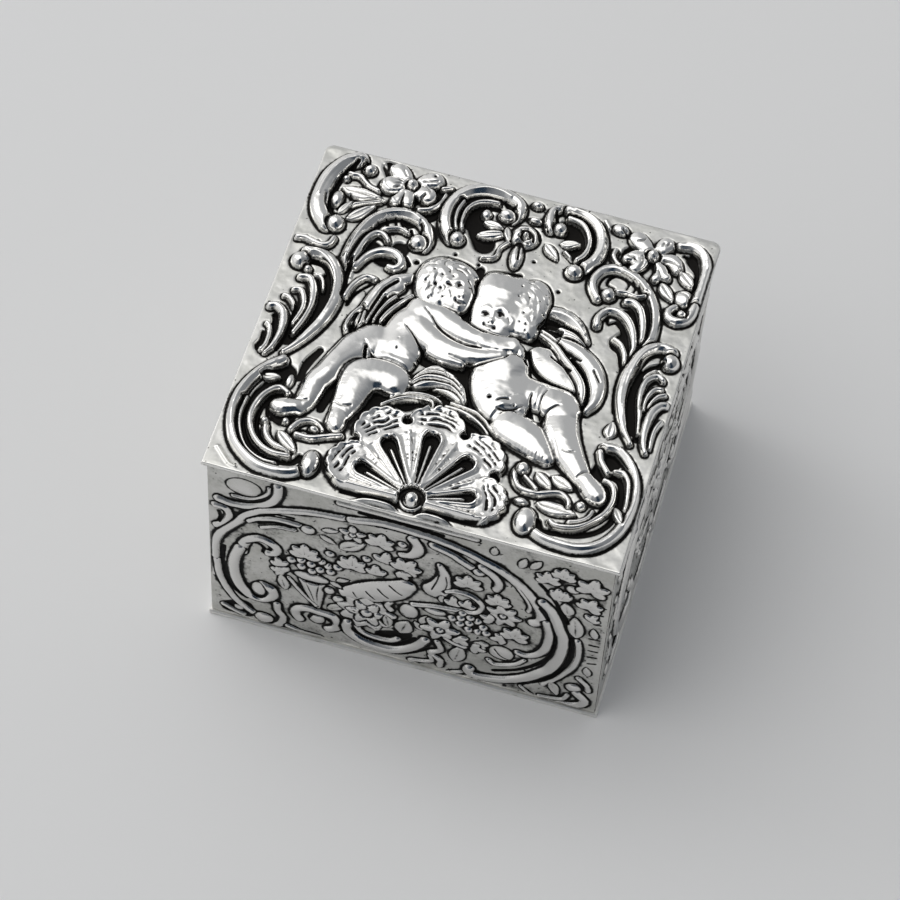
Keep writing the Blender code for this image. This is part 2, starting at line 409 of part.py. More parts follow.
class Relief:
    """Raised work on a flat sheet: the rise over each point of a lattice."""

    def __init__(self, width, height, relief, fullness):
        self.width, self.height = width, height
        self.relief, self.fullness = relief, fullness
        self.xs = np.linspace(0.0, width, int(round(width / LATTICE)) + 1)
        self.ys = np.linspace(0.0, height, int(round(height / LATTICE)) + 1)
        self.x, self.y = np.meshgrid(self.xs, self.ys)
        self.rise = np.zeros_like(self.x)

    def lay(self, gap, form):
        """Sets a form on the sheet, given how far each place lies outside it.

        What was there sinks at its foot, so that forms stay apart.
        """
        sink = np.clip(1.0 - gap / MOAT_WIDTH, 0.0, 1.0)
        self.rise = np.maximum(self.rise * (1.0 - MOAT_SHARE * sink), form * self.relief)

    def along(self, point_shares):
        """How far each place lies outside a stroke, and the stroke's rounded form there.

        Each of its points carries half its width there. It rises less where it narrows.
        """
        spots = smooth_path(point_shares) * np.array([self.width, self.height, self.width])
        widest = spots[:, 2].max()
        gap = np.full_like(self.x, self.width)
        form = np.zeros_like(self.x)
        for (ax, ay, ar), (bx, by, br) in zip(spots, spots[1:]):
            run = max((bx - ax) ** 2 + (by - ay) ** 2, LATTICE * LATTICE * 1e-6)
            along = ((self.x - ax) * (bx - ax) + (self.y - ay) * (by - ay)) / run
            along = np.clip(along, 0.0, 1.0)
            apart = np.hypot(self.x - ax - along * (bx - ax), self.y - ay - along * (by - ay))
            half = ar + along * (br - ar)
            bulge = np.clip(1.0 - (apart / half) ** 2, 0.0, 1.0) ** self.fullness
            form = np.maximum(form, bulge * (0.5 + 0.5 * half / widest))
            gap = np.minimum(gap, apart - half)
        return gap, form

    def band(self, half_width_share, rise, point_shares):
        """A raised band whose width tapers by a third towards its ends."""
        taper = 1.0 - 0.35 * np.abs(np.linspace(-1.0, 1.0, len(point_shares))) ** 3
        gap, form = self.along(np.column_stack([point_shares, half_width_share * taper]))
        self.lay(gap, rise * form)

    def figure(self, limbs):
        """Limbs whose flesh runs together, laid as one form."""
        gap = np.full_like(self.x, self.width)
        form = np.zeros_like(self.x)
        for rise, point_shares in limbs:
            limb_gap, limb_form = self.along(point_shares)
            gap = np.minimum(gap, limb_gap)
            form = np.maximum(form, rise * limb_form)
        self.lay(gap, form)

    def pool(self, depth, point_shares):
        """A hollow in the bare ground along a stroke, where no form stands."""
        form = self.along(point_shares)[1]
        sunk = np.minimum(self.rise, -depth * self.relief * form)
        self.rise = np.where(self.rise > 0.0, self.rise, sunk)

    def boss(self, x_share, y_share, half_x_share, half_y_share, turn, rise):
        """A raised oval; both its half sizes are shares of the sheet's width."""
        away_x = self.x - x_share * self.width
        away_y = self.y - y_share * self.height
        along = away_x * cos(radians(turn)) + away_y * sin(radians(turn))
        across = away_y * cos(radians(turn)) - away_x * sin(radians(turn))
        half_x = half_x_share * self.width
        half_y = half_y_share * self.width
        reach = np.hypot(along / half_x, across / half_y)
        form = rise * np.clip(1.0 - reach**2, 0.0, 1.0) ** self.fullness
        self.lay((reach - 1.0) * min(half_x, half_y), form)

    def shell(self):
        """A scallop shell: five hollow flutes between ribs, arched rims and a ball at its root."""
        away_x = self.x - SHELL_CENTER_SHARE[0] * self.width
        away_y = self.y - SHELL_CENTER_SHARE[1] * self.height
        radius = np.hypot(away_x, away_y) / self.width
        angle = np.degrees(np.arctan2(away_x, away_y))
        side = np.clip(np.abs(angle) / 90.0, 0.0, 1.0)
        lobe = np.cos(np.radians(angle * 360.0 / SHELL_FLUTE_STEP))
        outer = SHELL_RADIUS_SHARE + (SHELL_SIDE_RADIUS_SHARE - SHELL_RADIUS_SHARE) * side
        outer = outer * (0.95 + 0.05 * lobe)
        gap = np.maximum((radius - outer) * self.width, -away_y)
        self.lay(gap, np.zeros_like(gap))
        inside = gap < 0.0
        along = radius / outer
        swell = np.sqrt(np.clip(1.0 - (2.0 * along - 1.0) ** 4, 0.0, 1.0))
        hollow = np.clip(lobe, 0.0, 1.0) * np.clip((SHELL_FLUTE_SHARE - along) / 0.1, 0.0, 1.0)
        ribbed = SHELL_RISE_SHARE * self.relief * swell * (1.0 - 0.85 * hollow)
        self.rise = np.where(inside, ribbed, self.rise)
        self.boss(*SHELL_CENTER_SHARE, SHELL_BALL_SHARE, SHELL_BALL_SHARE, 0, SHELL_BALL_RISE_SHARE)

    def finish(self, border):
        """Softens the work, and brings it down to the bare sheet along the edges."""
        for axis in (0, 1):
            before = np.roll(self.rise, 1, axis)
            after = np.roll(self.rise, -1, axis)
            self.rise = (before + 2.0 * self.rise + after) / 4.0
        edge_x = np.minimum(self.x, self.width - self.x)
        edge_y = np.minimum(self.y, self.height - self.y)
        self.rise *= np.clip((np.minimum(edge_x, edge_y) - border) / (1.5 * border), 0.0, 1.0)


def edge_points(width, height):
    """Points round a rectangle's edge, evenly spaced along each side."""
    across = max(2, int(round(width / EDGE_SPACING)))
    up = max(2, int(round(height / EDGE_SPACING)))
    points = [(width * k / across, 0.0) for k in range(across)]
    points += [(width, height * k / up) for k in range(up)]
    points += [(width * (1 - k / across), height) for k in range(across)]
    points += [(0.0, height * (1 - k / up)) for k in range(up)]
    return points


def triangle_heights(relief, places, faces, heights):
    """The rise that a net of triangles has over every lattice point."""
    found = np.zeros_like(relief.rise)
    for face in faces:
        corners = places[list(face)]
        low, high = corners.min(axis=0), corners.max(axis=0)
        first_x, last_x = np.searchsorted(relief.xs, [low[0], high[0]], side="left")
        first_y, last_y = np.searchsorted(relief.ys, [low[1], high[1]], side="left")
        window = (slice(first_y, last_y + 1), slice(first_x, last_x + 1))
        x, y = relief.x[window], relief.y[window]
        (ax, ay), (bx, by), (cx, cy) = corners
        area = (bx - ax) * (cy - ay) - (cx - ax) * (by - ay)
        if abs(area) < LATTICE * LATTICE * 1e-6:
            continue
        second = ((x - ax) * (cy - ay) - (cx - ax) * (y - ay)) / area
        third = ((bx - ax) * (y - ay) - (x - ax) * (by - ay)) / area
        inside = (second >= -1e-6) & (third >= -1e-6) & (second + third <= 1.0 + 1e-6)
        ha, hb, hc = heights[list(face)]
        found[window] = np.where(inside, ha + second * (hb - ha) + third * (hc - ha), found[window])
    return found


def sheet_net(relief, tolerance):
    """Places, rises and triangles that follow the raised work to within a tolerance."""
    places = edge_points(relief.width, relief.height)
    edge_count = len(places)
    heights = [0.0] * edge_count
    step = max(1, int(round(EDGE_SPACING / LATTICE)))
    rows, columns = relief.rise.shape
    chosen = {(row, column) for row in range(step, rows - step // 2, step)
              for column in range(step, columns - step // 2, step)}
    block = max(1, step // 3)
    for _ in range(REFINE_ROUNDS):
        inner = sorted(chosen)
        spots = np.array(places[:edge_count] + [(relief.xs[c], relief.ys[r]) for r, c in inner])
        rises = np.array(heights[:edge_count] + [relief.rise[r, c] for r, c in inner])
        outcome = delaunay_2d_cdt([Vector(spot) for spot in spots], [], [], 0, LATTICE * 1e-3)
        kept = [originals[0] for originals in outcome[3]]
        spots, rises, faces = spots[kept], rises[kept], outcome[2]
        error = np.abs(triangle_heights(relief, spots, faces, rises) - relief.rise)
        error[:2], error[-2:], error[:, :2], error[:, -2:] = 0.0, 0.0, 0.0, 0.0
        added = set()
        for row in range(0, rows, block):
            for column in range(0, columns, block):
                part = error[row:row + block, column:column + block]
                worst = np.unravel_index(np.argmax(part), part.shape)
                if part[worst] > tolerance:
                    added.add((row + worst[0], column + worst[1]))
        if not added - chosen:
            break
        chosen |= added
    return spots, rises, faces


def sheet_mesh(name, relief, tolerance, thickness, mitre, corner_radius=0.0):
    """A closed sheet with a flat back at z = 0, its raised work on top, centred on x and y.

    Its left and right sides slope inwards to the back by the mitre. The two corners at +Y round off.
    """
    spots, rises, faces = sheet_net(relief, tolerance)
    work = bmesh.new()
    verts = [work.verts.new((x - relief.width / 2.0, y - relief.height / 2.0, thickness + rise))
             for (x, y), rise in zip(spots, rises)]
    for face in faces:
        work.faces.new([verts[k] for k in face])
    if corner_radius > 0.0:
        round_back_corners(work, relief, corner_radius)
    edges = [edge for edge in work.edges if len(edge.link_faces) == 1]
    walls = bmesh.ops.extrude_edge_only(work, edges=edges)["geom"]
    for vert in [item for item in walls if isinstance(item, bmesh.types.BMVert)]:
        side = relief.width / 2.0 - abs(vert.co.x)
        if side < LATTICE / 2.0:
            vert.co.x -= mitre if vert.co.x > 0.0 else -mitre
        vert.co.z = 0.0
    rim = [edge for edge in work.edges if len(edge.link_faces) == 1]
    bmesh.ops.contextual_create(work, geom=rim)
    return mesh_from(name, work)


def round_back_corners(work, relief, radius):
    """Draws the net near the two back corners into quarter circles."""
    for vert in work.verts:
        past_x = (abs(vert.co.x) - (relief.width / 2.0 - radius)) / radius
        past_y = (vert.co.y - (relief.height / 2.0 - radius)) / radius
        if past_x > 0.0 and past_y > 0.0:
            drawn_x = past_x * (1.0 - past_y * past_y / 2.0) ** 0.5
            drawn_y = past_y * (1.0 - past_x * past_x / 2.0) ** 0.5
            vert.co.x += (drawn_x - past_x) * radius * (1.0 if vert.co.x > 0.0 else -1.0)
            vert.co.y += (drawn_y - past_y) * radius


def box_mesh(name, low, high, bevel=0.0):
    """A closed box between two corners, with its edges eased by a small bevel."""
    work = bmesh.new()
    size = Vector(high) - Vector(low)
    middle = (Vector(high) + Vector(low)) / 2.0
    bmesh.ops.create_cube(work, size=1.0)
    bmesh.ops.transform(work, matrix=Matrix.Diagonal((*size, 1.0)), verts=work.verts)
    bmesh.ops.translate(work, vec=middle, verts=work.verts)
    if bevel > 0.0:
        bmesh.ops.bevel(work, geom=work.edges, offset=bevel, segments=1, affect="EDGES")
    return mesh_from(name, work)


def rod_mesh(name, radius, length):
    """A closed round rod along X, centred on the origin."""
    work = bmesh.new()
    bmesh.ops.create_cone(work, cap_ends=True, segments=ROUND_SIDES, radius1=radius,
                          radius2=radius, depth=length)
    bmesh.ops.rotate(work, matrix=Matrix.Rotation(pi / 2.0, 3, "Y"), verts=work.verts)
    return mesh_from(name, work)


def lid_relief():
    """The lid's raised work: scrolls and flowers round two embracing putti over a shell."""
    relief = Relief(LID_WIDTH, LID_DEPTH, LID_RELIEF, LID_FULLNESS)
    for half_width, rise, points in LID_BAND_SHARES + DRAPERY_SHARES:
        relief.band(half_width, rise, points)
    for boss in LID_BOSS_SHARES:
        relief.boss(*boss)
    relief.shell()
    for limbs in FIGURE_SHARES:
        relief.figure(limbs)
    for pool in POOL_SHARES:
        relief.pool(*pool)
    relief.finish(LID_BORDER)
    return relief


def wall_relief(width, bands, bosses):
    """A wall's raised work."""
    relief = Relief(width, WALL_HEIGHT, WALL_RELIEF, WALL_FULLNESS)
    for half_width, rise, points in bands:
        relief.band(half_width, rise, points)
    for boss in bosses:
        relief.boss(*boss)
    relief.finish(WALL_BORDER)
    return relief


def side_design():
    """The bands and bosses of a plain wall: the left half, its mirror image and the middle."""
    bands = list(SIDE_BAND_SHARES)
    bands += [(half, rise, [(1.0 - x, y) for x, y in points]) for half, rise, points in bands]
    bosses = list(SIDE_BOSS_SHARES)
    bosses += [(1.0 - x, y, wide, high, -turn, rise) for x, y, wide, high, turn, rise in bosses]
    return bands, bosses + list(SIDE_MIDDLE_SHARES)


def add_base_plate():
    """The flat base plate, a little larger than the walls."""
    half_x = BODY_WIDTH / 2.0 + BASE_OVERHANG
    half_y = BODY_DEPTH / 2.0 + BASE_OVERHANG
    mesh = box_mesh("base_plate", (-half_x, -half_y, 0.0), (half_x, half_y, BASE_THICKNESS),
                    BASE_THICKNESS / 5.0)
    return add_object("base_plate", mesh, DULL_SILVER, 0.35)


def add_wall(name, width, distance, turn, relief):
    """A wall sheet stood on the base, its raised work outwards, at a distance from the middle."""
    mesh = sheet_mesh(name, relief, WALL_TOLERANCE, WALL_THICKNESS, WALL_THICKNESS)
    middle = Vector((0.0, -(distance - WALL_THICKNESS), WALL_BOTTOM + WALL_HEIGHT / 2.0))
    stand = Matrix.Rotation(turn, 4, "Z") @ Matrix.Translation(middle) @ Matrix.Rotation(pi / 2.0, 4, "X")
    mesh.transform(stand)
    return add_object(name, mesh, SILVER, 0.28)


def cut(item, cutter):
    """Takes a cutter's shape out of a piece."""
    modifier = item.modifiers.new("Cut", "BOOLEAN")
    modifier.object = cutter
    modifier.operation = "DIFFERENCE"
    cutter.hide_render = True
    cutter.display_type = "WIRE"


def add_walls():
    """The four mitred walls; the back one is notched for the hinge."""
    mitre_gap = SOLDER_GAP * 2.0
    front = wall_relief(BODY_WIDTH - mitre_gap, FRONT_BAND_SHARES, FRONT_BOSS_SHARES)
    long_side = wall_relief(BODY_WIDTH - mitre_gap, *side_design())
    short_side = wall_relief(BODY_DEPTH - mitre_gap, *side_design())
    half_x, half_y = BODY_WIDTH / 2.0, BODY_DEPTH / 2.0
    add_wall("front_wall", BODY_WIDTH, half_y, 0.0, front)
    add_wall("right_wall", BODY_DEPTH, half_x, pi / 2.0, short_side)
    add_wall("left_wall", BODY_DEPTH, half_x, -pi / 2.0, short_side)
    long_side.rise[long_side.y > NOTCH_TOP - WALL_BOTTOM - BEARER_HEIGHT / 2.0] = 0.0
    back = add_wall("back_wall", BODY_WIDTH, half_y, pi, long_side)
    half_notch = HINGE_LENGTH / 2.0 + KNUCKLE_END_GAP
    reach = WALL_THICKNESS + WALL_RELIEF
    notch = box_mesh("hinge_notch", (-half_notch, half_y - reach, NOTCH_TOP),
                     (half_notch, half_y + reach, WALL_TOP + reach))
    cutter = bpy.data.objects.new("hinge_notch", notch)
    bpy.context.collection.objects.link(cutter)
    cut(back, cutter)


def add_bearer():
    """The strip inside the back wall that carries the hinge's body knuckles."""
    outer = BODY_DEPTH / 2.0 - WALL_THICKNESS - SOLDER_GAP
    half = HINGE_LENGTH / 2.0
    mesh = box_mesh("hinge_bearer", (-half, outer - BEARER_THICKNESS, NOTCH_TOP - BEARER_HEIGHT),
                    (half, outer, NOTCH_TOP), BEARER_THICKNESS / 6.0)
    add_object("hinge_bearer", mesh, DULL_SILVER, 0.4)


def add_knuckle(name, middle_x, foot_z, parent):
    """A hinge knuckle: a bored tube with a foot that runs up or down to the sheet it is soldered to."""
    length = KNUCKLE_PITCH - KNUCKLE_END_GAP
    tube = rod_mesh(name, KNUCKLE_RADIUS, length)
    item = add_object(name, tube, DULL_SILVER, 0.3, parent)
    item.location = Vector((middle_x, HINGE_Y, HINGE_Z)) - (parent.location if parent else Vector())
    item.matrix_parent_inverse = Matrix()
    half_x, half_y = length / 2.0, KNUCKLE_FOOT_WIDTH / 2.0
    foot_low, foot_high = sorted((foot_z - HINGE_Z, 0.0))
    foot = bpy.data.objects.new(name + "_foot", box_mesh(
        name + "_foot", (-half_x, -half_y, foot_low), (half_x, half_y, foot_high)))
    bore = bpy.data.objects.new(name + "_bore", rod_mesh(name + "_bore", KNUCKLE_BORE, length * 1.5))
    for helper in (foot, bore):
        bpy.context.collection.objects.link(helper)
        helper.location = (middle_x, HINGE_Y, HINGE_Z)
        helper.hide_render = True
        helper.display_type = "WIRE"
    joined = item.modifiers.new("Foot", "BOOLEAN")
    joined.object = foot
    joined.operation = "UNION"
    cut(item, bore)


def add_hinge(lid_axis):
    """Five knuckles on one pin: the odd ones on the box, the even ones on the lid."""
    body_number, lid_number = 1, 1
    for k in range(KNUCKLE_COUNT):
        middle_x = (k - (KNUCKLE_COUNT - 1) / 2.0) * KNUCKLE_PITCH
        if k % 2 == 0:
            add_knuckle(f"hinge_knuckle_body_{body_number}", middle_x, NOTCH_TOP + SOLDER_GAP, None)
            body_number += 1
        else:
            add_knuckle(f"hinge_knuckle_lid_{lid_number}", middle_x, LINING_BOTTOM - SOLDER_GAP, lid_axis)
            lid_number += 1
    pin = add_object("hinge_pin", rod_mesh("hinge_pin", PIN_RADIUS, HINGE_LENGTH - KNUCKLE_END_GAP),
                     DULL_SILVER, 0.25)
    pin.location = (0.0, HINGE_Y, HINGE_Z)


def add_lid(lid_axis):
    """The lid: stamped cover, flat lining and the strips of its inner rim."""
    cover = sheet_mesh("lid_cover", lid_relief(), LID_TOLERANCE, COVER_THICKNESS, 0.0, LID_CORNER_RADIUS)
    cover.transform(Matrix.Translation((0.0, 0.0, COVER_BOTTOM)))
    add_object("lid_cover", cover, SILVER, 0.24, lid_axis)
    half_x = LID_WIDTH / 2.0 - LINING_INSET
    half_y = LID_DEPTH / 2.0 - LINING_INSET
    lining = box_mesh("lid_lining", (-half_x, -half_y, LINING_BOTTOM),
                      (half_x, half_y, LINING_BOTTOM + LINING_THICKNESS), LINING_THICKNESS / 5.0)
    add_object("lid_lining", lining, DULL_SILVER, 0.3, lid_axis)
    rim_x = BODY_WIDTH / 2.0 - WALL_THICKNESS - RIM_CLEARANCE
    rim_y = BODY_DEPTH / 2.0 - WALL_THICKNESS - RIM_CLEARANCE
    low, high = LINING_BOTTOM - SOLDER_GAP - RIM_DEPTH, LINING_BOTTOM - SOLDER_GAP
    ease = RIM_THICKNESS / 6.0
    front = box_mesh("lid_rim_front", (-rim_x, -rim_y, low), (rim_x, -rim_y + RIM_THICKNESS, high), ease)
    add_object("lid_rim_front", front, DULL_SILVER, 0.3, lid_axis)
    start_y = -rim_y + RIM_THICKNESS + SOLDER_GAP
    end_y = rim_y - RIM_BACK_GAP
    for name, side in (("lid_rim_left", -1.0), ("lid_rim_right", 1.0)):
        near, far = sorted((side * rim_x, side * (rim_x - RIM_THICKNESS)))
        strip = box_mesh(name, (near, start_y, low), (far, end_y, high), ease)
        add_object(name, strip, DULL_SILVER, 0.3, lid_axis)


def main():
    """Builds the whole box."""
    clear_scene()
    lid_axis = bpy.data.objects.new("lid_axis", None)
    bpy.context.collection.objects.link(lid_axis)
    lid_axis.location = (0.0, HINGE_Y, HINGE_Z)
    add_base_plate()
    add_walls()
    add_bearer()
    add_hinge(lid_axis)
    add_lid(lid_axis)


main()
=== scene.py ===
"""A small square repousse silver box with a hinged lid, dressed for a close studio view."""

from math import cos, pi, radians, sin

import bpy
import numpy as np
from mathutils import Matrix, Vector


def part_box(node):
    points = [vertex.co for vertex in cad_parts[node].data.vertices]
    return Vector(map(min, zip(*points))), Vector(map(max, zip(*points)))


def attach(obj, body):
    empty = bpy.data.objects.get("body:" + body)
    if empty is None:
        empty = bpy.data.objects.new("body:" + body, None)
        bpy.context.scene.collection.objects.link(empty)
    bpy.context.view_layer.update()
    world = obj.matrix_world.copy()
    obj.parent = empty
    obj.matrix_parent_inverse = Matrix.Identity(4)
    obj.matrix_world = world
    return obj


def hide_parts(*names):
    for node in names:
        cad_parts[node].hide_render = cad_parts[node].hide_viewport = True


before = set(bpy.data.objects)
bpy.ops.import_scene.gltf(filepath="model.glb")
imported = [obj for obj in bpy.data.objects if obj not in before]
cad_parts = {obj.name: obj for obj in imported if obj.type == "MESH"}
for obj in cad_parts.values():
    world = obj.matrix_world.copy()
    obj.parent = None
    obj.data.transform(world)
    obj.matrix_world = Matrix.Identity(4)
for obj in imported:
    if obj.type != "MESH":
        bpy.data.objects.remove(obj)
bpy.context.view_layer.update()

MM = 0.001

# Fineness of the chased sheets, and how soft their forms are
FINE_STEP = 0.1 * MM
PLAIN_STEP = 0.16 * MM
SOFTNESS = 0.065 * MM

# How far the work rises, and how the ground sinks round each form
LID_RELIEF = 2.0 * MM
WALL_RELIEF = 0.62 * MM
LID_MOAT_WIDTH = 0.30 * MM
LID_MOAT_DEPTH = 0.22 * MM
WALL_MOAT_WIDTH = 0.26 * MM
WALL_MOAT_DEPTH = 0.09 * MM
LID_FULLNESS = 0.62
WALL_FULLNESS = 0.95

# Sizes shared with the solids
WALL_THICKNESS = 0.6 * MM
LID_CORNER_RADIUS = 1.2 * MM
HINGE_CLEARANCE = 0.2 * MM
BACK_PLAIN = 1.5 * MM

# The plain border of a sheet, how rough its ground is, the radius of its edge, and its random seed
LID_BORDER = 0.45 * MM
LID_ROUGHNESS = 0.018 * MM
LID_EDGE = 0.16 * MM
LID_SEED = 11
WALL_BORDER = 0.6 * MM
WALL_ROUGHNESS = 0.02 * MM
WALL_EDGE = 0.1 * MM
FRONT_SEED = 21
PLAIN_SEED = 31
SHELL_SEED = 41

# A form below this share of the relief has a shallower moat, and the ground loses this share of its height
LOW_FORM = 0.35
MOAT_FALL = 0.7

# The front design was laid out on the crests of its work, and sits this share lower
FRONT_DROP = 0.024

# What is left of a sheet under its deepest hollow
THINNEST = 0.12 * MM

# The grain of the worked ground: its waves, its fine grain, its dark specks and its cloudy tarnish,
# and how far round a point its hollows are judged
GROUND_WAVES = 0.6 * MM
GROUND_GRAIN = 0.2 * MM
GROUND_SPECKS = 0.11 * MM
GROUND_CLOUDS = 0.9 * MM
HOLLOW_REACH = 0.45 * MM

# Shares of the relief: a hollow this deep is fully dark, and a form this high fully polished
HOLLOW_DEPTH = 0.14
POLISHED = 0.35

# Darkness, from 0 to 1: of the foot of a form, of a groove, of a broad hollow, and of the open ground
FOOT_INK = 0.8
CREASE_INK = 0.9
POOL_INK = 1.25
LID_GROUND_INK = 0.1
WALL_GROUND_INK = 0.26

# A sheet's edge in rings, from its face to its back: how far out each lies and how far down from the
# face or up from the back, both over the edge's radius, then how dark each ring and the back are
FACE_RINGS = ((0.55, 0.12), (0.9, 0.45), (1.0, 1.0), (1.0, 2.2))
BACK_RINGS = ((1.0, 0.9), (0.6, 0.0))
RING_INK = (0.0, 0.0, 0.0, 0.15, 0.4, 0.45)
BACK_INK = 0.45
RIM_INK_SHARE = 0.3
BACK_POLISH = 0.5

# Where a sheet's parts lie on its bake map, which runs from 0 to 1: how much of it the face and the
# back take, where their middles are, and how much each ring of the edge stands outside the last
FACE_SHARE = 0.78
FACE_MIDDLE = 0.45
BACK_SHARE = 0.08
BACK_MIDDLE = 0.94
RING_GROWTH = 0.02

# How far the edge wavers, over its radius, and how long its waves are in steps of the lattice
WAVER = 0.12
WAVER_LENGTH = 9.0

# How much darker the walls' silver and oxide are painted than the lid's, as painted shade for their
# upright faces, and how each wall's sheet is turned about +Z
WALL_PAINTED_SHADE = 0.78
WALL_TURNS = {"front_wall": 0.0, "right_wall": pi / 2.0, "back_wall": pi, "left_wall": -pi / 2.0}

# The view, with lengths over the lid's width
VIEW_AZIMUTH = 12.746
VIEW_ELEVATION = 56.572
VIEW_ROLL = 4.137
VIEW_DISTANCE = 8.3865
VIEW_TARGET = (-0.0119, -0.0640)
VIEW_LENS = 137.78
VIEW_SENSOR = 36.0
FLOOR_SIZE = 4.0

